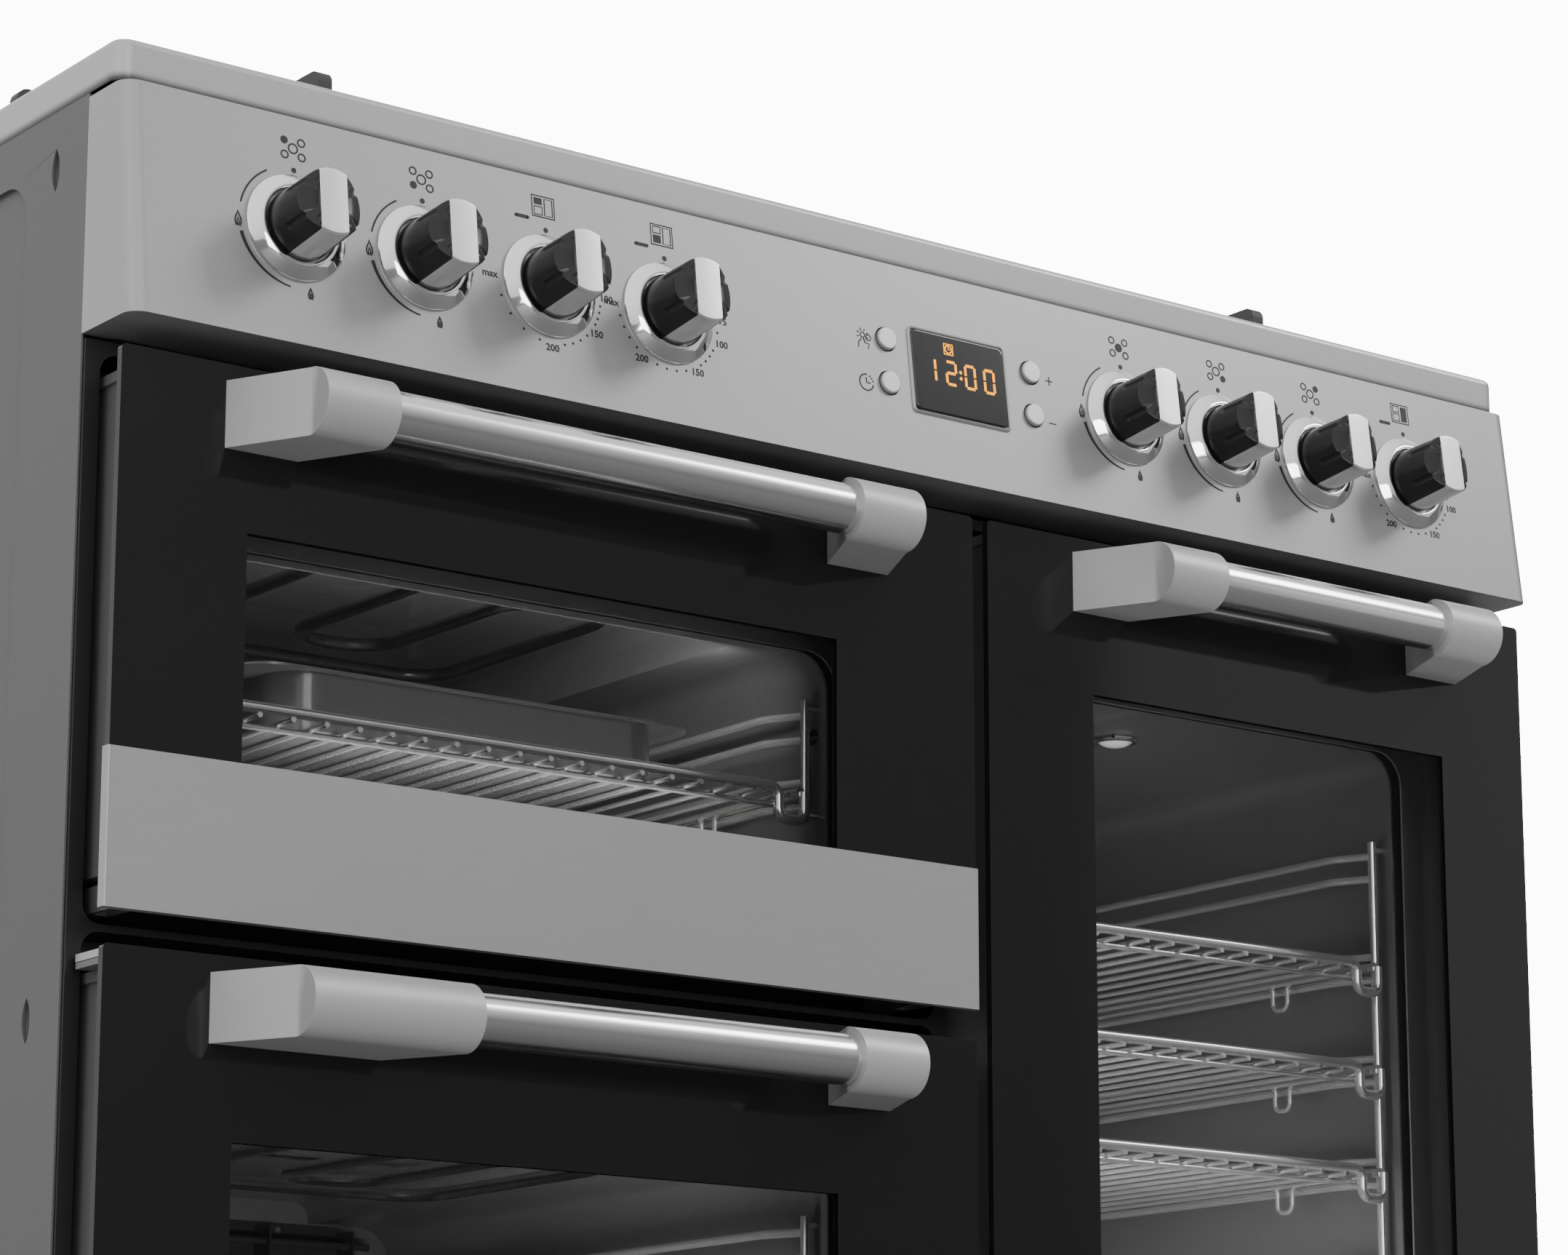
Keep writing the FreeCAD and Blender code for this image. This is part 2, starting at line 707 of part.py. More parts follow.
def burner_room():
    """Space over the burners that the pan supports stay out of."""
    room = []
    top = dish_z + burner_crown_height + burner_cap_thickness + grate_burner_gap
    for _, x, y, radius in burners + [("wok", 0.0, wok_y, wok_radius)]:
        room.append(cylinder(radius + 4 + grate_burner_gap, V(x, y, dish_z - 1), Z_AXIS, top - dish_z + 1))
    return room


def finger(x, y, dx, dy, length, start_corner, end_corner):
    """Upright blade of a pan support, from (x, y) along a direction, with rounded upper corners."""
    z0 = dish_z + grate_foot
    z1 = hob_height + grate_top_rise
    blade = box(0, length, -grate_bar / 2, grate_bar / 2, z0, z1)
    edges = []
    for edge in blade.Edges:
        bound = edge.BoundBox
        if abs(bound.ZMin - z1) > 1e-6 or bound.XLength > 1e-6:
            continue
        if abs(bound.XMin) < 1e-6 and start_corner:
            edges.append(edge)
        if abs(bound.XMin - length) < 1e-6 and end_corner:
            edges.append(edge)
    blade = blade.makeFillet(finger_corner, edges)
    blade.rotate(V(0, 0, 0), Z_AXIS, math.degrees(math.atan2(dy, dx)))
    blade.translate(V(x, y, 0))
    return blade


def grate_frame(x0, x1):
    z0 = dish_z + grate_foot
    outer = slab_z(x0, x1, grate_front_y + 2, grate_back_y, 12, z0, z0 + grate_bar_height)
    inner = slab_z(x0 + grate_bar, x1 - grate_bar, grate_front_y + 2 + grate_bar,
                   grate_back_y - grate_bar, 6, z0 - 1, z0 + grate_bar_height + 1)
    feet = []
    for x in (x0 + 14, x1 - 14):
        for y in (grate_front_y + 2 + grate_bar / 2, grate_back_y - grate_bar / 2):
            feet.append(cylinder(grate_bar / 2 - 0.5, V(x, y, dish_z + grate_rest_gap), Z_AXIS,
                                 grate_foot - grate_rest_gap + 1))
    return [outer.cut(inner)] + feet


def side_grate(side):
    """Pan support over a front and a rear burner."""
    outer_x = half - dish_side_margin - grate_side_gap
    inner_x = grate_centre_half + grate_between
    x0, x1 = sorted((side * inner_x, side * outer_x))
    x = side * burner_x
    reach = {b[0]: max(b[3] * 0.62, 18.0) for b in burners}
    sides = {-1: "left", 1: "right"}
    front = reach["front_" + sides[side]]
    rear = reach["rear_" + sides[side]]
    parts = grate_frame(x0, x1)
    parts.append(finger(x, grate_front_y, 0, 1, burner_front_y - front - grate_front_y, True, True))
    middle_start = burner_front_y + front
    parts.append(finger(x, middle_start, 0, 1, burner_back_y - rear - middle_start, True, True))
    parts.append(finger(x, burner_back_y + rear, 0, 1, grate_back_y - burner_back_y - rear, True, True))
    for y, gap in ((burner_front_y, front), (burner_back_y, rear)):
        parts.append(finger(x0, y, 1, 0, x - gap - x0, True, True))
        parts.append(finger(x + gap, y, 1, 0, x1 - x - gap, True, True))
    bridge = (burner_front_y + burner_back_y) / 2
    z0 = dish_z + grate_foot
    parts.append(box(x0 + 1, x1 - 1, bridge - grate_bar / 2, bridge + grate_bar / 2,
                     z0, z0 + grate_bar_height))
    return cut(fused(parts), burner_room())


def centre_grate():
    parts = grate_frame(-grate_centre_half, grate_centre_half)
    gap = wok_radius * 0.5
    z0 = dish_z + grate_foot
    start, end = grate_centre_finger_start, wok_y * 2 - grate_centre_finger_start
    parts.append(finger(0, start, 0, 1, wok_y - gap - start, True, True))
    parts.append(finger(0, wok_y + gap, 0, 1, end - wok_y - gap, True, True))
    parts.append(finger(-grate_centre_half, wok_y, 1, 0, grate_centre_half - gap, True, True))
    parts.append(finger(gap, wok_y, 1, 0, grate_centre_half - gap, True, True))
    for y in (start + grate_bar, end - grate_bar):
        parts.append(box(-grate_centre_half + 1, grate_centre_half - 1, y - grate_bar / 2,
                         y + grate_bar / 2, z0, z0 + grate_bar_height))
    return cut(fused(parts), burner_room())


# ---------------------------------------------------------------- fascia and controls
knob_z = hob_height - knob_drop
display_z = hob_height - display_drop
button_z = hob_height - button_drop
knob_xs = [side * (knob_first_x + i * knob_pitch)
           for side, order in ((-1, reversed(range(knobs_each_side))), (1, range(knobs_each_side)))
           for i in order]
knob_names = ["rear_left_burner", "front_left_burner", "top_left_oven", "lower_left_oven",
              "centre_burner", "front_right_burner", "rear_right_burner", "right_oven"]
gas_names = [name for name in knob_names if name.endswith("burner")]
oven_names = [name for name in knob_names if name.endswith("oven")]
knob_place = dict(zip(knob_names, knob_xs))


def rail_centre(z):
    """Centre of the gas rail, straight behind the knob axes."""
    return V(0, fascia_point_y(z), z) - OUTWARD * rail_depth


rail_y = rail_centre(knob_z).y
rail_z = rail_centre(knob_z).z


def fascia_block(inset):
    """Solid with the fascia's outside shape, drawn in by the inset on every side but the back."""
    z0, z1 = fascia_bottom_z + inset, fascia_top_z - inset
    lean = inset / math.cos(tilt)
    points = [V(-half + inset, side_setback + inset, z0), V(-half + inset, fascia_point_y(z0) + lean, z0),
              V(-half + inset, fascia_point_y(z1) + lean, z1), V(-half + inset, side_setback + inset, z1)]
    block = prism(points, V(body_width - 2 * inset, 0, 0))
    uprights = [e for e in block.Edges
                if e.BoundBox.XLength < 1e-6 and e.BoundBox.ZLength > 1 and e.BoundBox.YMin < -1]
    return block.makeFillet(fascia_corner - inset, uprights)


def control_panel():
    panel = fascia_block(0.0).cut(fascia_block(sheet))
    open_bottom = box(-half + fascia_hem, half - fascia_hem, frame_y - fascia_floor_gap,
                      side_setback + 2, fascia_bottom_z - 1, fascia_bottom_z + 2)
    behind = box(-half - 1, half + 1, side_setback, side_setback + 5, fascia_bottom_z - 1, fascia_top_z + 1)
    tools = [open_bottom, behind]
    for x in knob_xs:
        tools.append(on_fascia(cylinder(fascia_spindle_hole, V(0, 0, -4), Z_AXIS, 8), x, knob_z))
    for x, z in button_places():
        tools.append(on_fascia(cylinder(button_radius + button_hole_gap, V(0, 0, -4), Z_AXIS, 8), x, z))
    plug = slab_z(-display_width / 2 + 1, display_width / 2 - 1, -display_height / 2 + 1,
                  display_height / 2 - 1, display_corner, -4, 4)
    tools.append(on_fascia(plug, display_centre_x, display_z))
    return cut(panel, tools)


def button_places():
    places = []
    for x in (button_left_x, button_right_x):
        for z in (button_z + button_spread / 2, button_z - button_spread / 2):
            places.append((x, z))
    return places


def knob_bezels():
    inner = knob_radius + bezel_knob_gap
    profile = [(inner, 0), (bezel_radius, 0), (bezel_radius, bezel_lip),
               (inner + bezel_crest_width, bezel_height), (inner, bezel_height)]
    ring = revolved(profile)
    return [on_fascia(ring, x, knob_z) for x in knob_xs]


def knob_solids():
    """Black body with sloped cheeks and four grooves, and the metal strip laid over it."""
    height = knob_face_height - knob_back_height
    base = V(0, 0, knob_back_height)
    cone = Part.makeCone(knob_radius, knob_face_radius, height, base, Z_AXIS)
    core = Part.makeCone(knob_radius - insert_thickness, knob_face_radius - insert_thickness,
                         height - insert_thickness, base, Z_AXIS)
    strip = box(-insert_width / 2, insert_width / 2, -knob_radius - 1, knob_radius + 1, 0,
                knob_face_height + 1)
    insert = cone.common(strip).cut(core)
    cheek_z = knob_face_height - knob_facet_step
    rim_z = cheek_z - knob_facet_drop
    wide = knob_radius + 1
    roof = [V(-wide, -wide, 0), V(-wide, -wide, rim_z), V(-insert_width / 2, -wide, cheek_z),
            V(insert_width / 2, -wide, cheek_z), V(wide, -wide, rim_z), V(wide, -wide, 0)]
    body = cone.common(prism(roof, V(0, 2 * wide, 0))).cut(insert)
    tools = []
    for angle in (knob_groove_angle, 180 - knob_groove_angle, 180 + knob_groove_angle,
                  -knob_groove_angle):
        turn = math.radians(angle)
        radius = (knob_radius + knob_face_radius) / 2 + 0.3
        start = V(radius * math.cos(turn), radius * math.sin(turn), knob_face_height + 1)
        tools.append(cylinder(knob_groove_radius, start, V(0, 0, -1), knob_groove_length))
    return cut(body, tools), insert


def spindle_bore(from_z, to_z):
    return cylinder(spindle_radius + spindle_fit, V(0, 0, from_z), Z_AXIS, to_z - from_z)


def gas_knob(x):
    body, insert = knob_solids()
    body = body.cut(spindle_bore(0, spindle_bore_end))
    return [on_fascia(body, x, knob_z), on_fascia(insert, x, knob_z)]


def oven_knob(x):
    """Knob of an oven thermostat; its shaft is fixed in it and turns with it."""
    body, insert = knob_solids()
    shaft = cylinder(spindle_radius, V(0, 0, -spindle_back), Z_AXIS, spindle_back + spindle_reach)
    body = body.cut(shaft)
    return [on_fascia(body, x, knob_z), on_fascia(insert, x, knob_z), on_fascia(shaft, x, knob_z)]


def tap_spindle(x):
    return on_fascia(cylinder(spindle_radius, V(0, 0, -spindle_back), Z_AXIS,
                              spindle_back + spindle_reach), x, knob_z)


def gas_rail():
    """Rail across the cooker, its feed to the threaded inlet at the back, and one tap per burner."""
    axis = rail_centre(knob_z)
    first = min(knob_place[name] for name in gas_names) - rail_overrun
    feed = bent_rod([V(first, axis.y, axis.z), V(inlet_x, axis.y, axis.z),
                     V(inlet_x, body_depth - 40, axis.z)], rail_radius, 2.5 * rail_radius)
    stub = fused([cylinder(inlet_radius - 1, V(inlet_x, body_depth - 45, axis.z), Y_AXIS, 46),
                  cylinder(inlet_radius, V(inlet_x, body_depth, axis.z), Y_AXIS, inlet_length)])
    bore = cylinder(inlet_radius - 3, V(inlet_x, body_depth - 20, axis.z), Y_AXIS, 30 + inlet_length)
    frame_top = fascia_bottom_z - frame_top_gap
    feet = [box(x - rail_foot / 2, x + rail_foot / 2, axis.y - rail_foot / 2, axis.y + rail_foot / 2,
                frame_top, axis.z) for x in rail_foot_xs]
    solids = [fused([feed, stub] + feet).cut(bore)]
    around_rail = cylinder(rail_radius, V(-half, axis.y, axis.z), X_AXIS, body_width)
    for name in gas_names:
        x = knob_place[name]
        nose = cylinder(tap_radius * 0.65, V(0, 0, -14), Z_AXIS, 14 - tap_nose_gap)
        barrel = cylinder(tap_radius, V(0, 0, -rail_depth + 3), Z_AXIS, rail_depth - 3 - 14)
        tap = fused([nose, barrel]).cut(spindle_bore(-spindle_back - 0.5, 0))
        solids.append(on_fascia(tap, x, knob_z).cut(around_rail))
    return solids


def oven_controls():
    """Thermostat and switch blocks of the three ovens, with a mounting neck through to the fascia."""
    solids = []
    for name in oven_names:
        block = slab_z(-switch_half, switch_half, -switch_half, switch_half, 3,
                       -switch_front - switch_depth, -switch_front)
        neck = cylinder(tap_radius * 0.65, V(0, 0, -switch_front - 1), Z_AXIS,
                        switch_front + 1 - sheet)
        neck = neck.cut(cylinder(spindle_radius + 1, V(0, 0, -switch_front - 2), Z_AXIS, switch_front + 2))
        control = fused([block, neck]).cut(spindle_bore(-spindle_back - 0.5, 0))
        solids.append(on_fascia(control, knob_place[name], knob_z))
    return solids


def thermostat_bulb(name, drop):
    """Sensing bulb of an oven's thermostat, held by a folded clip on the back wall."""
    mouth = cavities[name]
    back = cavity_back_y - cavity_sheet
    z = mouth.z1 - drop
    x1 = mouth.x1 - bulb_wall_gap
    x0 = x1 - bulb_length
    y = back - bulb_stand
    bulb = cylinder(bulb_radius, V(x0, y, z), X_AXIS, bulb_length)
    plate = box(x1 - clip_length, x1 - 12, back - sheet, back, z - clip_half, z + clip_half)
    holes = [cylinder(clip_hole, V(x1 - clip_length / 2, back - 5, z + dz), Y_AXIS, 10) for dz in (-8, 8)]
    parts = [cut(plate, holes)]
    for x in (x1 - clip_length, x1 - clip_length / 2 - 16, x1 - 12 - sheet):
        ear = box(x, x + sheet, y - 5, back, z - clip_half * 0.7, z + clip_half * 0.7)
        parts.append(ear.cut(cylinder(bulb_radius, V(x - 1, y, z), X_AXIS, 4)))
    return [bulb, fused(parts)]


def timer_module():
    """Display window clipped into the fascia, and the clock's case behind it."""
    front = slab_z(-display_width / 2, display_width / 2, -display_height / 2, display_height / 2,
                   display_corner, 0, display_proud)
    rim = [e for e in front.Edges if abs(e.BoundBox.ZMin - display_proud) < 1e-6]
    front = front.makeFillet(display_edge, rim)
    inset = 1 + display_plug_gap
    plug = slab_z(-display_width / 2 + inset, display_width / 2 - inset, -display_height / 2 + inset,
                  display_height / 2 - inset, display_corner, -sheet, 0)
    window = fused([front, plug])
    case = slab_z(-timer_case_half, timer_case_half, -timer_case_height / 2, timer_case_height / 2, 4,
                  -timer_case_depth, -sheet)
    wells = []
    for x, z in button_places():
        well = cylinder(button_radius + hinge_gap, V(x - display_centre_x, (z - display_z) / math.cos(tilt),
                                                     -button_inside - button_travel - hinge_gap),
                        Z_AXIS, button_inside + button_travel + 1)
        wells.append(well)
    case = cut(case, wells)
    return [on_fascia(window, display_centre_x, display_z), on_fascia(case, display_centre_x, display_z)]


def button(x, z):
    cap = cylinder(button_radius, V(0, 0, -button_inside), Z_AXIS, button_inside + button_proud)
    rim = [e for e in cap.Edges if abs(e.BoundBox.ZMin - button_proud) < 1e-6]
    return on_fascia(cap.makeFillet(0.8, rim), x, z)


# ---------------------------------------------------------------- ovens
def cavity(name):
    """Enamelled oven box with a flange against the front frame."""
    mouth = cavities[name]
    tube = slab_y(mouth, cavity_corner, cavity_front_y, cavity_back_y, cavity_sheet)
    flange = slab_y(mouth, cavity_corner, cavity_front_y, cavity_front_y + cavity_sheet, cavity_flange)
    hollow = slab_y(mouth, cavity_corner, cavity_front_y - 1, cavity_back_y - cavity_sheet)
    parts, tools = [tube, flange], [hollow]
    if name in vault_rise:
        middle = (mouth.x0 + mouth.x1) / 2
        vault = Face(middle - grill_vault_half, middle + grill_vault_half,
                     mouth.z1 - 2 * cavity_sheet, mouth.z1 + vault_rise[name])
        front, back = cavity_front_y + grill_vault_front, cavity_back_y
        low = vault.z1 - 2 * grill_vault_corner - vault_rise[name]
        rounded = Face(vault.x0, vault.x1, low, vault.z1)
        above = box(vault.x0 - 5, vault.x1 + 5, front - 5, back + 5, vault.z0, vault.z1 + 5)
        outer = slab_y(rounded, grill_vault_corner, front, back, cavity_sheet).common(above)
        inner = slab_y(rounded, grill_vault_corner, front + cavity_sheet, back - cavity_sheet)
        parts.append(outer)
        tools.append(inner.common(above))
    shell = cut(fused(parts), tools)
    if name == "top_left":
        hole_at = V(mouth.x0 - 5, cavity_front_y + wall_hole_inset, hob_height - wall_hole_drop)
        shell = shell.cut(cylinder(wall_hole_radius, hole_at, X_AXIS, mouth.x1 - mouth.x0 + 10))
    if name == "lower_left":
        centre = fan_centre()
        shell = shell.cut(cylinder(fan_shaft_hole, V(centre.x, cavity_back_y - 5, centre.z), Y_AXIS, 10))
    return shell


def fan_centre():
    mouth = cavities["lower_left"]
    return V((mouth.x0 + mouth.x1) / 2, cavity_back_y - cavity_sheet, (mouth.z0 + mouth.z1) / 2)


def grill_element(name):
    """Rod bent into two nested loops under the raised ceiling, its ends turned up to the ceiling."""
    mouth = cavities[name]
    middle = (mouth.x0 + mouth.x1) / 2
    ceiling = mouth.z1 + vault_rise[name]
    z = ceiling - (element_vault_gap if name == "top_left" else element_vault_gap + 5)
    front = cavity_front_y + grill_front
    inner_back, outer_back = cavity_front_y + grill_inner_back, cavity_front_y + grill_outer_back
    inner, outer = grill_inner_half, grill_outer_half
    points = [V(middle - inner, front, ceiling), V(middle - inner, front, z),
              V(middle - inner, inner_back, z), V(middle + inner, inner_back, z),
              V(middle + inner, front, z), V(middle + outer, front, z),
              V(middle + outer, outer_back, z), V(middle - outer, outer_back, z),
              V(middle - outer, front, z), V(middle - outer, front, ceiling)]
    return bent_rod(points, element_radius, element_bend, element_end_bend)


def ceiling_element():
    """Heating rod of the right oven: one loop from the back wall, under the ceiling."""
    mouth = cavities["right"]
    middle = (mouth.x0 + mouth.x1) / 2
    z = mouth.z1 - ceiling_element_gap
    back = cavity_back_y - cavity_sheet
    front = back - ceiling_element_reach
    points = [V(middle - ceiling_element_half, back, z), V(middle - ceiling_element_half, front, z),
              V(middle + ceiling_element_half, front, z), V(middle + ceiling_element_half, back, z)]
    return bent_rod(points, element_radius, element_bend)


def ring_element():
    """Open ring round the fan, with two terminals through the back wall."""
    centre = fan_centre()
    y = centre.y - fan_stand_off - fan_blade_depth / 2
    gap = math.radians(12)

    def at(angle):
        return V(centre.x + fan_ring_radius * math.sin(angle), y,
                 centre.z + fan_ring_radius * math.cos(angle))
    ring = Part.Wire([Part.Arc(at(gap), at(math.pi / 2), at(math.pi)).toShape(),
                      Part.Arc(at(math.pi), at(3 * math.pi / 2), at(2 * math.pi - gap)).toShape()])
    heading = V(math.cos(gap), 0, -math.sin(gap))
    section = Part.Wire([Part.Circle(at(gap), heading, element_radius).toShape()])
    rod = ring.makePipeShell([section], True, False)
    legs = [cylinder(element_radius, at(a), Y_AXIS, centre.y - y) for a in (gap, 2 * math.pi - gap)]
    ends = [Part.makeSphere(element_radius, at(a)) for a in (gap, 2 * math.pi - gap)]
    return fused([rod] + legs + ends)


def rail_xs(name):
    """Post and rung X of the left and right shelf rails of an oven."""
    mouth = cavities[name]
    offset = wire + rail_wall_gap
    return ((mouth.x0 + offset, mouth.x0 + offset + rail_rung_inset),
            (mouth.x1 - offset, mouth.x1 - offset - rail_rung_inset))


def rung_levels(name):
    """Heights of the upper wire of each shelf level."""
    if name == "right":
        return [hob_height - right_rung_drop - rung_pitch * i for i in range(right_levels)]
    if name == "top_left":
        return [hob_height - top_rung_drop - top_rung_pitch * i for i in range(top_levels)]
    return [cavities[name].z1 - lower_rung_drop - rung_pitch * i for i in range(lower_levels)]


def shelf_rails(name):
    """The two wire ladders of an oven."""
    y0 = cavity_front_y + rail_front
    y1 = y0 + rail_length
    levels = rung_levels(name)
    mouth = cavities[name]
    ladders = []
    for post, rung in rail_xs(name):
        z0 = levels[-1] - rung_gap - post_overrun
        z1 = levels[0] + post_overrun
        parts = [cylinder(wire, V(post, y, z0), Z_AXIS, z1 - z0) for y in (y0, y1)]
        for upper in levels:
            for z in (upper, upper - rung_gap):
                points = [V(post, y0, z), V(rung, y0 + rail_splay, z), V(rung, y1 - rail_splay, z),
                          V(post, y1, z)]
                parts.append(bent_rod(points, wire * 0.92, rail_splay * 0.6))
        wall = mouth.x0 if post < (mouth.x0 + mouth.x1) / 2 else mouth.x1
        side = V(-1, 0, 0) if wall == mouth.x0 else X_AXIS
        for y in (y0, y1):
            for z in (z0 + 4, z1 - 4):
                parts.append(cylinder(wire * 0.7, V(post, y, z), side, abs(wall - post)))
        ladders.append(fused(parts))
    return ladders


def rack_height(name, level):
    """Height of a rack's side wires when it rests on the lower wire of a level."""
    return rung_levels(name)[level] - rung_gap + 2 * wire + rack_rest_gap


def wire_rack(name, level):
    """Chromed rack: thick front wire ending in loops, side and rear wires, bars and two stop loops."""
    (_, x0), (_, x1) = rail_xs(name)
    z = rack_height(name, level)
    y0 = cavity_front_y + rack_front
    y1 = y0 + rack_length
    front_z = z + 1
    low = z - rack_loop_drop
    outer0, outer1 = x0 - rack_loop_over, x1 + rack_loop_over
    inner0, inner1 = outer0 + rack_loop_width, outer1 - rack_loop_width
    front = bent_rod([V(outer0, y0, z), V(outer0, y0, low), V(inner0, y0, low), V(inner0, y0, front_z),
                      V(inner1, y0, front_z), V(inner1, y0, low), V(outer1, y0, low), V(outer1, y0, z)],
                     rack_front_wire, 5.5)
    parts = [front]
    parts.append(cylinder(wire, V(x0, y1, z), X_AXIS, x1 - x0))
    for x in (x0, x1):
        parts.append(cylinder(wire, V(x, y0, z), Y_AXIS, y1 - y0))
    bar_z = front_z - rack_front_wire - rack_bar_wire + 0.6
    cross_z = bar_z - rack_bar_wire - rack_cross_wire + 0.5
    parts.append(cylinder(rack_cross_wire, V(x0, y0 + rack_cross_back, cross_z), X_AXIS, x1 - x0))
    first, last = x0 + rack_edge_bar, x1 - rack_edge_bar
    count = int(round((last - first) / rack_bar_pitch)) + 1
    for i in range(count):
        x = first + (last - first) * i / (count - 1)
        parts.append(cylinder(rack_bar_wire, V(x, y0 - 1.5, bar_z), Y_AXIS, y1 - y0 + 3))
    for x in (first, last):
        s0 = y0 + stop_front
        s1 = s0 + stop_width
        parts.append(bent_rod([V(x, s0 - 10, bar_z), V(x, s0, bar_z), V(x, s0, bar_z - stop_depth),
                               V(x, s1, bar_z - stop_depth), V(x, s1, bar_z), V(x, s1 + 10, bar_z)],
                              rack_bar_wire * 0.95, 4.5))
    return fused(parts)


def grill_pan():
    """Enamelled pan with a flat rim, standing on the top oven's shelf."""
    level = top_levels - 1
    z = rack_height("top_left", level)
    bar_top = z + 1 - rack_front_wire - rack_bar_wire + 0.6 + rack_bar_wire
    z0 = bar_top + pan_rest_gap
    y0 = cavity_front_y + rack_front + pan_front_gap
    y1 = y0 + pan_length
    x0, x1 = left_middle - pan_body_half, left_middle + pan_body_half
    body = slab_z(x0, x1, y0 + 4, y1 - 4, pan_corner, z0, z0 + pan_height)
    rim = slab_z(left_middle - pan_rim_half, left_middle + pan_rim_half, y0, y1, pan_corner,
                 z0 + pan_height - sheet, z0 + pan_height)
    hollow = slab_z(x0 + sheet, x1 - sheet, y0 + 4 + sheet, y1 - 4 - sheet, pan_corner - sheet,
                    z0 + sheet, z0 + pan_height + 1)
    return fused([body, rim]).cut(hollow)


def fan_guard():
    """Slotted plate in front of the fan, on four posts from the back wall."""
    centre = fan_centre()
    y = centre.y - fan_cover_stand
    face = Face(centre.x - fan_cover_half, centre.x + fan_cover_half,
                centre.z - fan_cover_half, centre.z + fan_cover_half)
    plate = slab_y(face, fan_cover_corner, y, y + cavity_sheet)
    tools = [cylinder(3, V(centre.x, y - 1, centre.z), Y_AXIS, 4)]
    for i in range(fan_slots):
        slot = slab_y(Face(30, fan_radius - 4, -1.8, 1.8), 1.8, y - 1, y + 3)
        slot.rotate(V(0, 0, 0), Y_AXIS, 360.0 * i / fan_slots)
        slot.translate(V(centre.x, 0, centre.z))
        tools.append(slot)
    parts = [cut(plate, tools)]
    reach = fan_cover_half - 12
    for dx in (-reach, reach):
        for dz in (-reach, reach):
            parts.append(cylinder(4, V(centre.x + dx, y + cavity_sheet / 2, centre.z + dz), Y_AXIS,
                                  fan_cover_stand - cavity_sheet / 2))
    return fused(parts)


def fan_motor():
    centre = fan_centre()
    back = centre.y + cavity_sheet
    body = cylinder(motor_radius, V(centre.x, back, centre.z), Y_AXIS, motor_length)
    tip = centre.y - fan_stand_off - fan_blade_depth - 3
    shaft = cylinder(fan_shaft_radius, V(centre.x, tip, centre.z), Y_AXIS, back - tip + 1)
    return fused([body, shaft])


def oven_fan():
    centre = fan_centre()
    y1 = centre.y - fan_stand_off
    y0 = y1 - fan_blade_depth
    hub = cylinder(fan_hub_radius, V(centre.x, y0, centre.z), Y_AXIS, y1 - y0)
    plate = cylinder(fan_radius, V(centre.x, y1 - 1.2, centre.z), Y_AXIS, 1.2)
    parts = [hub, plate]
    for i in range(fan_blades):
        blade = box(fan_radius * 0.55, fan_radius - 1, y0, y1 - 0.6, -0.6, 0.6)
        blade.rotate(V(fan_radius * 0.8, 0, 0), Y_AXIS, 30)
        blade.rotate(V(0, 0, 0), Y_AXIS, 360.0 * i / fan_blades)
        blade.translate(V(centre.x, 0, centre.z))
        parts.append(blade)
    bore = cylinder(fan_shaft_radius + spindle_fit, V(centre.x, y0 - 1, centre.z), Y_AXIS, y1 - y0 + 2)
    return fused(parts).cut(bore)


def door_seals():
    """Hollow-section gaskets on the recess floors, one round each oven mouth."""
    rings = []
    for name in ("top_left", "lower_left", "right"):
        mouth = cavities[name]
        y0 = liner_back + seal_liner_gap
        outer = slab_y(mouth, cavity_corner, y0, floor_y, seal_margin + seal_width)
        inner = slab_y(mouth, cavity_corner, y0 - 1, floor_y + 1, seal_margin)
        rings.append(outer.cut(inner))
    return rings


# ---------------------------------------------------------------- doors
def liner_face(name):
    """Outline of the painted box behind a door's glass."""
    door = doors[name]
    drop, rise = liner_drop, liner_rise
    if name == "top_left":
        drop, rise = top_liner_drop, top_liner_rise
    if name == "right":
        drop = top_liner_drop
        return Face(door.x0 + liner_free_inset, door.x1 - liner_side_inset, door.z0 + rise, door.z1 - drop)
    return Face(door.x0 + liner_side_inset, door.x1 - liner_free_inset, door.z0 + rise, door.z1 - drop)


def door_liner(name):
    """Folded box with a wider cap along its top and an opening for the inner glass."""
    face = liner_face(name)
    low = Face(face.x0, face.x1, face.z0, face.z1 - liner_cap_height)
    shell = box(low.x0, low.x1, glass_back_y, liner_back, low.z0, face.z1)
    cap = box(face.x0 - liner_cap_over, face.x1 + liner_cap_over, glass_back_y, liner_back,
              low.z1, face.z1)
    hollow = box(low.x0 + sheet, low.x1 - sheet, glass_back_y - 1, liner_back - sheet,
                 low.z0 + sheet, face.z1 - sheet)
    window = slab_y(cavities[name], cavity_corner, liner_back - 5, liner_back + 1, -2.0)
    return cut(fused([shell, cap]), [hollow, window])


def inner_glass(name):
    """Inner pane, held against the back of the liner."""
    face = cavities[name]
    pane = slab_y(face, cavity_corner, liner_back - sheet - glass_thickness, liner_back - sheet,
                  inner_glass_margin)
    liner = liner_face(name)
    room = box(liner.x0 + sheet + 1, liner.x1 - sheet - 1, -50, liner_back,
               liner.z0 + sheet + 1, liner.z1 - sheet - 1)
    return pane.common(room)


def outer_glass(name):
    return slab_y(doors[name], glass_corner, glass_y, glass_back_y)


def side_hinge_x(name):
    return -half + side_pin_inset if name == "lower_left" else half - side_pin_inset


def side_hinge_heights(name):
    """Inner faces of the door-side hinge plates: below the upper one, above the lower one."""
    face = liner_face(name)
    return face.z0, face.z1


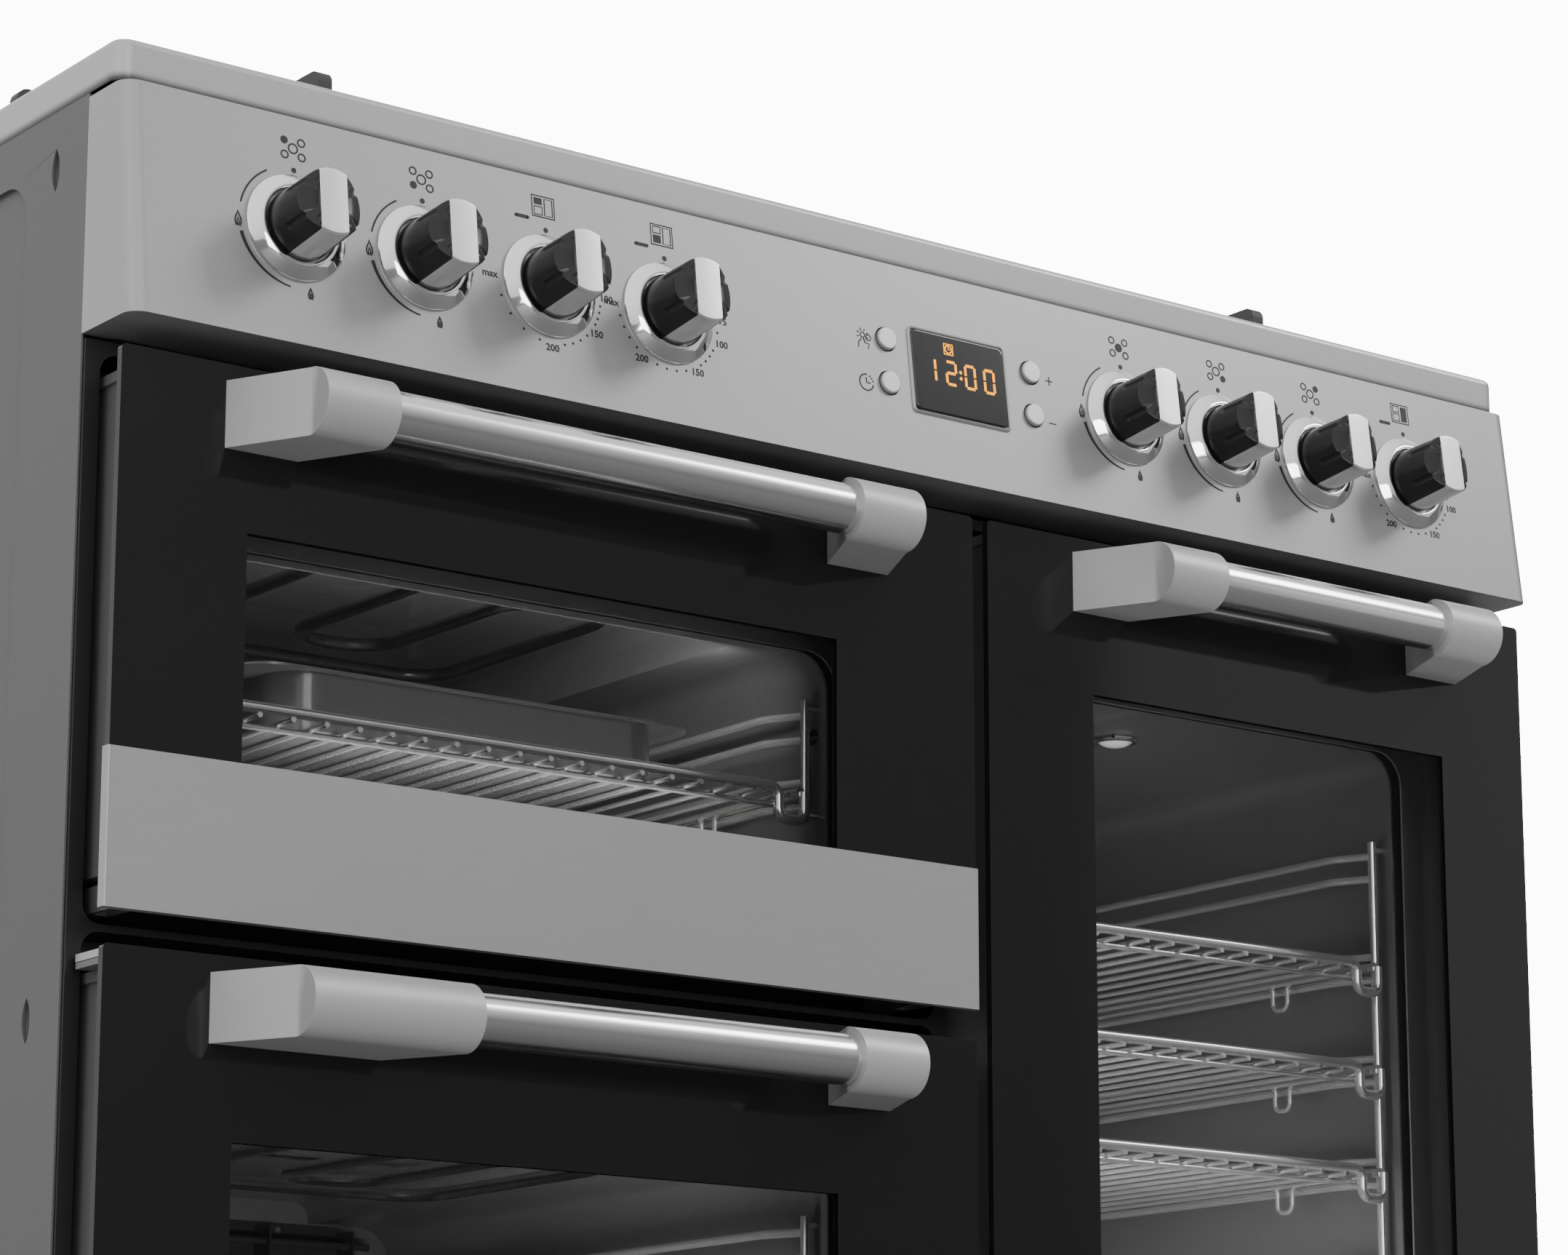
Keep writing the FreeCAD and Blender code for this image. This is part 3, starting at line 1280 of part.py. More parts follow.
def hinge_tab(name, y1, z0, z1, inner):
    """Flat plate round a vertical hinge axis, reaching in towards the door."""
    x = side_hinge_x(name)
    side = 1 if name == "lower_left" else -1
    far = x + side * inner
    reach = pin_radius + hinge_tab_wall
    near = x - side * reach
    return box(min(near, far), max(near, far), -reach, y1, z0, z1)


def side_door_plates(name):
    """Plates on the top and bottom of the liner that turn about the fixed pins."""
    z_low, z_high = side_hinge_heights(name)
    plates = []
    for z in (z_low - hinge_plate, z_high):
        plate = hinge_tab(name, 20, z, z + hinge_plate, hinge_inner + 14)
        hole = cylinder(pin_radius + pin_fit, V(side_hinge_x(name), 0, z - 1), Z_AXIS, hinge_plate + 2)
        plates.append(plate.cut(hole))
    return plates


def side_fixed_hinges(name):
    """Brackets from the recess floor with the pins that carry a side-hung door."""
    z_low, z_high = side_hinge_heights(name)
    x = side_hinge_x(name)
    recess = recesses[name]
    brackets = []
    for z, direction in ((z_low - hinge_plate - hinge_gap - hinge_bracket_plate, 1),
                         (z_high + hinge_plate + hinge_gap, -1)):
        side = 1 if name == "lower_left" else -1
        wall = recess.x0 if side > 0 else recess.x1
        stem_a, stem_b = wall + side * hinge_wall_gap, wall + side * hinge_inner
        stem = box(min(stem_a, stem_b), max(stem_a, stem_b), pin_radius, floor_y, z, z + hinge_bracket_plate)
        nose = hinge_tab(name, frame_y - 4, z, z + hinge_bracket_plate, hinge_inner - 2)
        pin_z = z + hinge_bracket_plate if direction > 0 else z - hinge_gap - hinge_plate + 0.2
        pin = cylinder(pin_radius, V(x, 0, pin_z), Z_AXIS, hinge_gap + hinge_plate - 0.2)
        brackets.append(fused([stem, nose, pin]))
    return brackets


drop_pin_z = top_left_z0 + top_pin_rise


def drop_hinge_xs():
    door = doors["top_left"]
    return (door.x0 + drop_hinge_side, door.x1 - drop_hinge_side)


def drop_door_arms():
    """Arms under the drop-down door's liner that turn about the fixed pins."""
    arms = []
    for x in drop_hinge_xs():
        x0 = x - drop_arm / 2
        eye = cylinder(drop_ear_radius, V(x0, 0, drop_pin_z), X_AXIS, drop_arm)
        web = box(x0, x0 + drop_arm, -drop_ear_radius, drop_ear_radius, drop_pin_z,
                  liner_face("top_left").z0)
        hole = cylinder(pin_radius + pin_fit, V(x0 - 1, 0, drop_pin_z), X_AXIS, drop_arm + 2)
        arms.append(fused([eye, web]).cut(hole))
    return arms


def drop_fixed_hinges():
    """Forked brackets from the recess floor with the pins of the drop-down door."""
    brackets = []
    ear_top = drop_pin_z + drop_ear_radius
    for x in drop_hinge_xs():
        inner = drop_arm / 2 + hinge_gap
        parts = []
        for side in (-1, 1):
            x0 = x + side * inner if side > 0 else x - inner - drop_ear
            parts.append(cylinder(drop_ear_radius, V(x0, 0, drop_pin_z), X_AXIS, drop_ear))
            parts.append(box(x0, x0 + drop_ear, 0, floor_y, drop_pin_z - drop_ear_radius, ear_top))
        bridge_front = liner_back - 14
        parts.append(box(x - inner - 0.5, x + inner + 0.5, bridge_front, floor_y,
                         drop_pin_z - drop_ear_radius, ear_top))
        parts.append(cylinder(pin_radius, V(x - inner - drop_ear, 0, drop_pin_z), X_AXIS,
                              2 * (inner + drop_ear)))
        brackets.append(fused(parts))
    return brackets


def trim_band():
    """Stainless band folded round the sides and lower edge of the top door's glass."""
    door = doors["top_left"]
    x0, x1 = door.x0 - sheet, door.x1 + sheet
    z0, z1 = door.z0 - sheet, door.z0 + trim_height
    front = box(x0, x1, glass_y - sheet, glass_y, z0, z1)
    left = box(x0, door.x0, glass_y - sheet, glass_y - sheet + trim_wrap, z0, z1)
    right = box(door.x1, x1, glass_y - sheet, glass_y - sheet + trim_wrap, z0, z1)
    under = box(x0, x1, glass_y - sheet, glass_y - sheet + trim_wrap, z0, door.z0)
    band = fused([front, left, right, under])
    uprights = [e for e in band.Edges
                if e.BoundBox.ZLength > trim_height / 2 and abs(e.BoundBox.YMin - (glass_y - sheet)) < 1e-6
                and (abs(e.BoundBox.XMin - x0) < 1e-6 or abs(e.BoundBox.XMax - x1) < 1e-6)]
    return band.makeFillet(sheet * 0.8, uprights)


def bracket(foot_x0, foot_x1, lean, axis_z, bore_from, bore_to):
    """Handle end: slanted block from the glass to a round nose that holds the tube."""
    front = tube_y - bracket_radius
    outline = [V(foot_x0, glass_y, 0), V(foot_x1, glass_y, 0), V(foot_x1 + lean, tube_y, 0),
               V(foot_x1 + lean, front - 1, 0), V(foot_x0 + lean, front - 1, 0),
               V(foot_x0 + lean, tube_y, 0)]
    plan = prism([p + V(0, 0, axis_z - bracket_radius - 1) for p in outline],
                 V(0, 0, 2 * bracket_radius + 2))
    x0 = min(foot_x0, foot_x0 + lean) - 1
    length = max(foot_x1, foot_x1 + lean) + 1 - x0
    nose = cylinder(bracket_radius, V(x0, tube_y, axis_z), X_AXIS, length)
    block = box(x0, x0 + length, tube_y, glass_y, axis_z - bracket_radius, axis_z + bracket_radius)
    profile = fused([nose, block])
    bore = cylinder(handle_tube_radius, V(min(bore_from, bore_to), tube_y, axis_z), X_AXIS,
                    abs(bore_to - bore_from))
    return plan.common(profile).cut(bore)


def door_handle(name):
    """Tube between two leaning brackets."""
    door = doors[name]
    axis_z = door.z1 - handle_drop
    if name == "right":
        left_foot, right_foot = door.x0 + right_bracket_inset, door.x1 - right_bracket_free_inset
    else:
        left_foot, right_foot = door.x0 + left_bracket_inset, door.x1 - left_bracket_free_inset
    left_width = bracket_long_width if name == "lower_left" else bracket_width
    tube_x0 = left_foot + bracket_shift + bracket_end_wall
    tube_x1 = right_foot - bracket_shift - bracket_end_wall
    left = bracket(left_foot, left_foot + left_width, bracket_shift, axis_z, tube_x0, tube_x0 + body_width)
    right = bracket(right_foot - bracket_width, right_foot, -bracket_shift, axis_z,
                    tube_x1, tube_x1 - body_width)
    tube = cylinder(handle_tube_radius, V(tube_x0, tube_y, axis_z), X_AXIS, tube_x1 - tube_x0)
    tube = tube.cut(cylinder(handle_tube_radius - sheet, V(tube_x0 - 1, tube_y, axis_z), X_AXIS,
                             tube_x1 - tube_x0 + 2))
    return [left, right, tube]


# ---------------------------------------------------------------- writing the nodes
os.makedirs("parts", exist_ok=True)

save("side_panel_left", [side_panel(-1)])
save("side_panel_right", [side_panel(1)])
save("back_panel", [back_panel()])
save("mains_terminal_box", [mains_terminal_box()])
save("base_tray", [base_tray()])
save("plinth", [plinth()])
save("levelling_feet", levelling_feet())
save("front_frame", [front_frame()])

save("hob_tray", [hob_tray()])
save("burner_bodies", [burner_body(x, y, r) for _, x, y, r in burners] + [wok_body()])
save("burner_caps", [burner_cap(x, y, r) for _, x, y, r in burners] + wok_caps())
save("pan_support_left", [side_grate(-1)])
save("pan_support_right", [side_grate(1)])
save("pan_support_centre", [centre_grate()])

save("control_panel", [control_panel()])
save("knob_bezels", knob_bezels())
save("timer_module", timer_module())
save("gas_rail_and_taps", gas_rail())
save("oven_controls", oven_controls() + thermostat_bulb("lower_left", bulb_drop)
     + thermostat_bulb("right", right_bulb_drop))
for gas_name in gas_names:
    save("tap_spindle_" + gas_name, [tap_spindle(knob_place[gas_name])])
    save("knob_" + gas_name, gas_knob(knob_place[gas_name]))
for oven_name in oven_names:
    save("knob_" + oven_name, oven_knob(knob_place[oven_name]))
for button_name, place in zip(("light", "clock", "plus", "minus"), button_places()):
    save("button_" + button_name, [button(*place)])

for oven in cavities:
    save("oven_cavity_" + oven, [cavity(oven)])
save("heating_elements", [grill_element("top_left"), grill_element("lower_left"),
                          ceiling_element(), ring_element()])
save("shelf_rails", [ladder for oven in cavities for ladder in shelf_rails(oven)])
save("fan_guard_and_motor", [fan_guard(), fan_motor()])
save("oven_fan", [oven_fan()])
save("door_seals", door_seals())
save("grill_shelf", [wire_rack("top_left", top_levels - 1)])
save("grill_pan", [grill_pan()])
for rack_name, rack_level in (("upper", 1), ("middle", 2), ("lower", 3)):
    save("oven_rack_" + rack_name, [wire_rack("right", rack_level)])

save("door_hinge_brackets", drop_fixed_hinges() + side_fixed_hinges("lower_left")
     + side_fixed_hinges("right"))
save("top_left_door_trim_band", [trim_band()])
for door_name in doors:
    save(door_name + "_door_glass", [outer_glass(door_name), inner_glass(door_name)])
    plates = drop_door_arms() if door_name == "top_left" else side_door_plates(door_name)
    save(door_name + "_door_liner", [door_liner(door_name)] + plates)
    save(door_name + "_door_handle", door_handle(door_name))

print("origin is", round(-shift_y, 3), "mm behind the hob's front face")
print("knob axis", round(knob_z, 3), "front y", round(fascia_point_y(knob_z) + shift_y, 3))
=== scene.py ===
"""Looks of a range cooker with three ovens, built round its CAD frame.

Lengths are in metres unless a name ends in _MM or a docstring says millimetres."""

import json
import math

import bmesh
import bpy
from mathutils import Matrix, Vector

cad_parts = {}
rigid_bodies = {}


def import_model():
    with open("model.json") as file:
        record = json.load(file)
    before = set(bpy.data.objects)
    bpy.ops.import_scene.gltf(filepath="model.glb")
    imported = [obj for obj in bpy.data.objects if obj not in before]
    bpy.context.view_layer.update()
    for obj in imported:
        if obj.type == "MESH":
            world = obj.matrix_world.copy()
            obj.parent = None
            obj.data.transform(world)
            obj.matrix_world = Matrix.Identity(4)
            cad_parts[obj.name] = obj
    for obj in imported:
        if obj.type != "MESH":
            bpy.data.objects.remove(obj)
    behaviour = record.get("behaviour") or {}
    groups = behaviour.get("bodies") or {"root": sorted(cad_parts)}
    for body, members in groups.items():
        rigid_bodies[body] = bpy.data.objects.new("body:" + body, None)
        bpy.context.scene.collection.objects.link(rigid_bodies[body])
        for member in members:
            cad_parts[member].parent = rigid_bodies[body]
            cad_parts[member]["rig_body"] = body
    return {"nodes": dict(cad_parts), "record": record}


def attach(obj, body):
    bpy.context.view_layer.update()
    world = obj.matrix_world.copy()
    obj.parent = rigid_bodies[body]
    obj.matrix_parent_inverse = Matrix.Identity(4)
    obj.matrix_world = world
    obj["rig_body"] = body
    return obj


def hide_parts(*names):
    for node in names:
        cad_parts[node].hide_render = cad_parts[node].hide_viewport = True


bl_info = {
    "name": "Range cooker looks",
    "version": (1, 0, 0),
    "blender": (4, 5, 0),
    "location": "View3D > Sidebar > Cooker",
    "description": "Finishes, markings, glass and lighting of a range cooker",
    "category": "Object",
}

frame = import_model()
NODES = frame["nodes"]
SLOTS = {part["node"]: part["material_slot"] for part in frame["record"]["subparts"]}

MM = 0.001
MERGE = 2e-6

BRUSHED, MOTTLE, SPANGLE = "brushed_grain", "fine_mottle", "zinc_spangle"
WINDOW_PRINT, SEAM_SHADE = "window_print", "seam_shade"
METAL = {"Metallic": 1.0}
FLOAT, COLOR, VECTOR = "NodeSocketFloat", "NodeSocketColor", "NodeSocketVector"
INTEGER, GEOMETRY, MATERIAL = "NodeSocketInt", "NodeSocketGeometry", "NodeSocketMaterial"
# The shade under the hob's rim fades out between these heights.
RIM_SHADE_LOW, RIM_SHADE_HIGH = 0.8795, 0.8845

# The fascia's own plane: across is +X, up follows its tilt, out points at the cook.
FASCIA_TILT = math.radians(6.75)
FASCIA_POINT = Vector((0, -0.288187, 0.8205))
FASCIA_UP = Vector((0, math.sin(FASCIA_TILT), math.cos(FASCIA_TILT)))
FASCIA_OUT = Vector((0, -math.cos(FASCIA_TILT), math.sin(FASCIA_TILT)))
FASCIA_PLACE = Matrix.Translation(FASCIA_POINT) @ Matrix(
    ((1, 0, 0, 0), (0, FASCIA_UP.y, FASCIA_OUT.y, 0), (0, FASCIA_UP.z, FASCIA_OUT.z, 0), (0, 0, 0, 1))
)
FASCIA_MM = FASCIA_PLACE @ Matrix.Scale(MM, 4)

KNOB_X_MM = {
    "rear_left_burner": -362.1,
    "front_left_burner": -291.4,
    "top_left_oven": -220.7,
    "lower_left_oven": -150.0,
    "centre_burner": 150.0,
    "front_right_burner": 220.7,
    "rear_right_burner": 291.4,
    "right_oven": 362.1,
}
BUTTONS_MM = {"light": (-12, 13.6), "clock": (-12, -10.6), "plus": (84.6, 13.6), "minus": (84.6, -10.6)}
# Lower and upper edge of each door's clear window.
WINDOW_HEIGHTS = {
    "top_left_door": (0.555, 0.672), "lower_left_door": (0.172, 0.394), "right_door": (0.172, 0.667),
}


# ------------------------------------------------------------------ node trees
def add(tree, kind, inputs=None, **props):
    """A node of this kind. Its inputs are given by name as a value or as the socket that feeds them."""
    node = tree.nodes.new(kind)
    for name, value in props.items():
        setattr(node, name, value)
    for name, value in (inputs or {}).items():
        if isinstance(value, bpy.types.NodeSocket):
            tree.links.new(value, node.inputs[name])
        else:
            node.inputs[name].default_value = value
    return node


def math_node(tree, operation, a, b=None):
    """The result of one Math node."""
    inputs = {0: a} if b is None else {0: a, 1: b}
    return add(tree, "ShaderNodeMath", inputs, operation=operation).outputs[0]


def multiplied(tree, color, tone):
    """A colour times a tone."""
    inputs = {"Factor": 1.0, 6: color, 7: tone}
    return add(tree, "ShaderNodeMix", inputs, data_type="RGBA", blend_type="MULTIPLY").outputs[2]


def object_place(tree):
    return add(tree, "ShaderNodeTexCoord").outputs["Object"]


def group(name, kind, inputs, outputs):
    """An empty node group with these sockets: {name: (type, default)} in and {name: type} out."""
    tree = bpy.data.node_groups.new(name, kind)
    for socket_name, (socket_type, default) in inputs.items():
        socket = tree.interface.new_socket(socket_name, in_out="INPUT", socket_type=socket_type)
        if default is not None:
            socket.default_value = default
    for socket_name, socket_type in outputs.items():
        tree.interface.new_socket(socket_name, in_out="OUTPUT", socket_type=socket_type)
    return tree, tree.nodes.new("NodeGroupInput").outputs, tree.nodes.new("NodeGroupOutput")


def finish_grain(tree, given, out, factor):
    """Turns a 0 to 1 factor into the three outputs that every finish group has."""
    low = math_node(tree, "SUBTRACT", 1.0, given["Contrast"])
    high = math_node(tree, "ADD", 1.0, given["Contrast"])
    tone = add(tree, "ShaderNodeMapRange", {"Value": factor, "To Min": low, "To Max": high})
    color = multiplied(tree, given["Base Color"], tone.outputs[0])
    swing = math_node(tree, "MULTIPLY", math_node(tree, "SUBTRACT", factor, 0.5), given["Roughness Swing"])
    tree.links.new(color, out.inputs["Color"])
    tree.links.new(math_node(tree, "ADD", given["Roughness"], swing), out.inputs["Roughness"])
    tree.links.new(factor, out.inputs["Height"])
    return tree


FINISH_INPUTS = {
    "Base Color": (COLOR, (0.5, 0.5, 0.5, 1)),
    "Roughness": (FLOAT, 0.4),
    "Scale": (VECTOR, (100, 100, 100)),
    "Contrast": (FLOAT, 0.05),
    "Roughness Swing": (FLOAT, 0.1),
}
FINISH_OUTPUTS = {"Color": COLOR, "Roughness": FLOAT, "Height": FLOAT}


def finish_start(name):
    """An empty finish group, and object coordinates times its Scale."""
    tree, given, out = group(name, "ShaderNodeTree", FINISH_INPUTS, FINISH_OUTPUTS)
    factors = {0: object_place(tree), 1: given["Scale"]}
    scaled = add(tree, "ShaderNodeVectorMath", factors, operation="MULTIPLY")
    return tree, given, out, scaled.outputs[0]


def brushed_group():
    """Straight fine scratches over a broad, faint cloud."""
    tree, given, out, place = finish_start(BRUSHED)
    fine = {"Vector": place, "Scale": 1.0, "Detail": 3.0, "Roughness": 0.65}
    scratches = add(tree, "ShaderNodeTexNoise", fine)
    cloud = add(tree, "ShaderNodeTexNoise", {"Vector": object_place(tree), "Scale": 5.0, "Detail": 1.0})
    cloud_part = math_node(tree, "MULTIPLY", cloud.outputs[0], 0.25)
    factor = math_node(tree, "ADD", math_node(tree, "MULTIPLY", scratches.outputs[0], 0.75), cloud_part)
    return finish_grain(tree, given, out, factor)


def mottled_group():
    """An even fine mottle, as paint, plastic and enamel have."""
    tree, given, out, place = finish_start(MOTTLE)
    noise = add(tree, "ShaderNodeTexNoise", {"Vector": place, "Scale": 1.0, "Detail": 4.0})
    return finish_grain(tree, given, out, noise.outputs[0])


def spangled_group():
    """The crystal patches of zinc-coated sheet."""
    tree, given, out, place = finish_start(SPANGLE)
    cells = add(tree, "ShaderNodeTexVoronoi", {"Vector": place, "Scale": 1.0})
    grey = add(tree, "ShaderNodeRGBToBW", {0: cells.outputs["Color"]})
    return finish_grain(tree, given, out, grey.outputs[0])


def glass_print_group():
    """Where a door pane is printed black round its clear window, from the window's rectangle on X and Z."""
    edges = ("Left", "Right", "Bottom", "Top")
    inputs = {name: (FLOAT, 0.0) for name in edges}
    inputs["Clear Alpha"] = (FLOAT, 0.1)
    outputs = {"Alpha": FLOAT, "Printed": FLOAT}
    tree, given, out = group(WINDOW_PRINT, "ShaderNodeTree", inputs, outputs)
    axes = add(tree, "ShaderNodeSeparateXYZ", {0: object_place(tree)}).outputs

    def between(value, low, high):
        above, below = math_node(tree, "GREATER_THAN", value, low), math_node(tree, "LESS_THAN", value, high)
        return math_node(tree, "MULTIPLY", above, below)

    across = between(axes["X"], given["Left"], given["Right"])
    upward = between(axes["Z"], given["Bottom"], given["Top"])
    printed = math_node(tree, "SUBTRACT", 1.0, math_node(tree, "MULTIPLY", across, upward))
    alpha = add(tree, "ShaderNodeMapRange", {"Value": printed, "To Min": given["Clear Alpha"], "To Max": 1.0})
    tree.links.new(alpha.outputs[0], out.inputs["Alpha"])
    tree.links.new(printed, out.inputs["Printed"])
    return tree


def seam_group():
    """The soft shade that gathers along a low edge, from a height on Z."""
    inputs = {
        "Color": (COLOR, (0.5, 0.5, 0.5, 1)), "Low": (FLOAT, 0.0),
        "High": (FLOAT, 1.0), "Shade": (FLOAT, 0.3),
    }
    tree, given, out = group(SEAM_SHADE, "ShaderNodeTree", inputs, {"Color": COLOR})
    axes = add(tree, "ShaderNodeSeparateXYZ", {0: object_place(tree)}).outputs
    span_of_shade = {
        "Value": axes["Z"], "From Min": given["Low"], "From Max": given["High"],
        "To Min": given["Shade"], "To Max": 1.0,
    }
    light = add(tree, "ShaderNodeMapRange", span_of_shade, interpolation_type="SMOOTHSTEP")
    tree.links.new(multiplied(tree, given["Color"], light.outputs[0]), out.inputs["Color"])
    return tree


def material(
    name, effect, color, roughness, scale, contrast=0.05, swing=0.08, bump=0.0, bump_depth=0.0002, **shader
):
    """A Principled material whose colour and roughness come from a finish group.

    Colour and scale may each be one number for all three. Further inputs go to the shader by name.
    A plain material that the CAD frame brings gives up the same name."""
    if name in bpy.data.materials:
        bpy.data.materials[name].name = name + "_plain"
    made = bpy.data.materials.new(name)
    made.use_nodes = True
    tree = made.node_tree
    surface = tree.nodes["Principled BSDF"]
    color, scale = (v if isinstance(v, tuple) else (v,) * 3 for v in (color, scale))
    values = {
        "Base Color": (*color, 1), "Roughness": roughness, "Scale": scale, "Contrast": contrast,
        "Roughness Swing": swing,
    }
    look = add(tree, "ShaderNodeGroup", values, node_tree=bpy.data.node_groups[effect])
    tree.links.new(look.outputs["Color"], surface.inputs["Base Color"])
    tree.links.new(look.outputs["Roughness"], surface.inputs["Roughness"])
    if bump:
        height = look.outputs["Height"]
        relief = add(tree, "ShaderNodeBump", {"Height": height, "Strength": bump, "Distance": bump_depth})
        tree.links.new(relief.outputs["Normal"], surface.inputs["Normal"])
    for key, value in shader.items():
        surface.inputs[key.replace("_", " ")].default_value = value
    return made


def look_of(name):
    return bpy.data.materials[name]


# ------------------------------------------------------------------ meshes
def merged_solids(node):
    """Each solid of a CAD node as a merged bmesh with its flat faces rejoined.

    Solids that touch stay apart, because a solid's triangles come one after another and their edges
    are all shared only when it is whole."""
    source = bmesh.new()
    source.from_mesh(NODES[node].data)
    twins = bmesh.ops.find_doubles(source, verts=source.verts, dist=MERGE)["targetmap"]
    source.verts.index_update()
    solids, run, open_edges = [], [], set()
    for face in source.faces:
        corners = [twins.get(vert, vert) for vert in face.verts]
        if len(set(corners)) < 3:
            continue
        run.append(corners)
        for a, b in zip(corners, corners[1:] + corners[:1], strict=True):
            open_edges ^= {frozenset((a.index, b.index))}
        if not open_edges:
            solids.append(run)
            run = []
    if run:
        solids.append(run)
    shapes = []
    for triangles in solids:
        shape, places = bmesh.new(), {}
        for corners in triangles:
            for vert in corners:
                if vert not in places:
                    places[vert] = shape.verts.new(vert.co)
            if not shape.faces.get([places[vert] for vert in corners]):
                shape.faces.new([places[vert] for vert in corners])
        bmesh.ops.dissolve_limit(shape, angle_limit=math.radians(0.4), verts=shape.verts, edges=shape.edges)
        shapes.append(shape)
    source.free()
    return shapes


def span(verts):
    """Lowest and highest corner of these vertices."""
    axes = list(zip(*(vert.co for vert in verts), strict=True))
    return Vector(map(min, axes)), Vector(map(max, axes))


def width_of(shape):
    low, high = span(shape.verts)
    return high.x - low.x


def mesh_of(name, shapes, place=None):
    """One mesh from [(bmesh, material)], freeing each bmesh."""
    points, faces, slots = [], [], []
    for slot, (shape, _) in enumerate(shapes):
        shape.verts.index_update()
        first = len(points)
        points += [tuple(vert.co) for vert in shape.verts]
        faces += [[first + vert.index for vert in face.verts] for face in shape.faces]
        slots += [slot] * len(shape.faces)
        shape.free()
    mesh = bpy.data.meshes.new(name)
    mesh.from_pydata(points, [], faces)
    mesh.polygons.foreach_set("material_index", slots)
    for _, look in shapes:
        mesh.materials.append(look)
    if place:
        mesh.transform(place)
    return mesh


def show(name, mesh, home, nodes=(), bevel=0.0, segments=2, sharp=32.0):
    """Links a mesh as a finished piece with its home node's body, in the place of these CAD nodes.

    Its sharp edges are rounded by bevel."""
    body, slot = NODES[home]["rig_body"], SLOTS[home]
    mesh.shade_smooth()
    mesh.set_sharp_from_angle(angle=math.radians(sharp))
    piece = bpy.data.objects.new(name, mesh)
    bpy.context.scene.collection.objects.link(piece)
    if bevel:
        rounding = piece.modifiers.new("rounded edges", "BEVEL")
        rounding.width = bevel
        rounding.segments = segments
        rounding.limit_method = "ANGLE"
        rounding.angle_limit = math.radians(sharp)
        rounding.miter_outer = "MITER_ARC"
        rounding.use_clamp_overlap = True
        weighted = piece.modifiers.new("even shading", "WEIGHTED_NORMAL")
        weighted.keep_sharp = True
        weighted.weight = 60
    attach(piece, body)
    if nodes:
        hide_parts(*nodes)
    return piece


def build(name, shapes, home, nodes=(), bevel=0.0, place=None, **rounding):
    """Shows bmeshes, each with the name of its material, as one piece."""
    mesh = mesh_of(name, [(shape, look_of(look)) for shape, look in shapes], place)
    return show(name, mesh, home, nodes, bevel, **rounding)


def rounded_node(name, node, look, bevel):
    """A CAD node shown as a copy with rounded edges in one material."""
    return build(name, [(shape, look) for shape in merged_solids(node)], node, [node], bevel)


class Ink:
    """Flat printed shapes on a plane, each a thin closed prism. Lengths are in millimetres."""

    def __init__(self, low=-0.05, high=0.12):
        self.shape = bmesh.new()
        self.low = low
        self.high = high

    def fill(self, outline):
        """A filled outline, given counter-clockwise."""
        bottom = [self.shape.verts.new((x, y, self.low)) for x, y in outline]
        top = [self.shape.verts.new((x, y, self.high)) for x, y in outline]
        self.shape.faces.new(top)
        self.shape.faces.new(bottom[::-1])
        for i in range(len(outline)):
            j = (i + 1) % len(outline)
            self.shape.faces.new((bottom[i], bottom[j], top[j], top[i]))

    def stroke(self, points, width, end_width=None, closed=False):
        """A line of this width, which may taper to end_width."""
        count = len(points)
        last = count if closed else count - 1
        end_width = width if end_width is None else end_width
        sides = []
        for i, point in enumerate(points):
            before = points[(i - 1) % count] if closed or i else point
            after = points[(i + 1) % count] if closed or i < count - 1 else point
            along = (Vector(after) - Vector(before)).normalized()
            half = (width + (end_width - width) * i / max(count - 1, 1)) / 2
            across = Vector((-along.y, along.x)) * half
            sides.append((Vector(point) - across, Vector(point) + across))
        rings = [
            [self.shape.verts.new((*right, self.low)), self.shape.verts.new((*right, self.high)),
             self.shape.verts.new((*left, self.high)), self.shape.verts.new((*left, self.low))]
            for right, left in sides
        ]
        for i in range(last):
            a, b = rings[i], rings[(i + 1) % count]
            for j in range(4):
                k = (j + 1) % 4
                self.shape.faces.new((a[j], b[j], b[k], a[k]))
        if not closed:
            self.shape.faces.new(rings[0])
            self.shape.faces.new(rings[-1][::-1])

    def disc(self, x, y, radius, count=20):
        self.fill(circle(radius, count, x, y))

    def ring(self, x, y, radius, width, count=24):
        self.stroke(circle(radius, count, x, y), width, closed=True)

    def text(self, words, x, y, size):
        """Words centred on a point, size high."""
        curve = bpy.data.curves.new("words", "FONT")
        curve.body = words
        curve.size = size
        curve.align_x = "CENTER"
        curve.align_y = "CENTER"
        curve.resolution_u = 2
        curve.offset = 0.12
        curve.extrude = (self.high - self.low) / 2
        holder = bpy.data.objects.new("words", curve)
        bpy.context.scene.collection.objects.link(holder)
        mesh = bpy.data.meshes.new_from_object(holder.evaluated_get(bpy.context.evaluated_depsgraph_get()))
        mesh.transform(Matrix.Translation((x, y, (self.high + self.low) / 2)))
        self.shape.from_mesh(mesh)
        bpy.data.objects.remove(holder)
        bpy.data.curves.remove(curve)
        bpy.data.meshes.remove(mesh)

    def mesh(self, name, look, place):
        """The mesh of all that was drawn, with plane coordinates in millimetres placed by a matrix."""
        bmesh.ops.remove_doubles(self.shape, verts=self.shape.verts, dist=1e-4)
        mesh = bpy.data.meshes.new(name)
        faced_outward(self.shape).to_mesh(mesh)
        self.shape.free()
        mesh.transform(place @ Matrix.Scale(MM, 4))
        mesh.materials.clear()
        mesh.materials.append(look)
        mesh.polygons.foreach_set("material_index", [0] * len(mesh.polygons))
        return mesh


def polar(radius, turn, x=0.0, y=0.0):
    """The point at this radius and turn in degrees round a centre."""
    return x + radius * math.cos(math.radians(turn)), y + radius * math.sin(math.radians(turn))


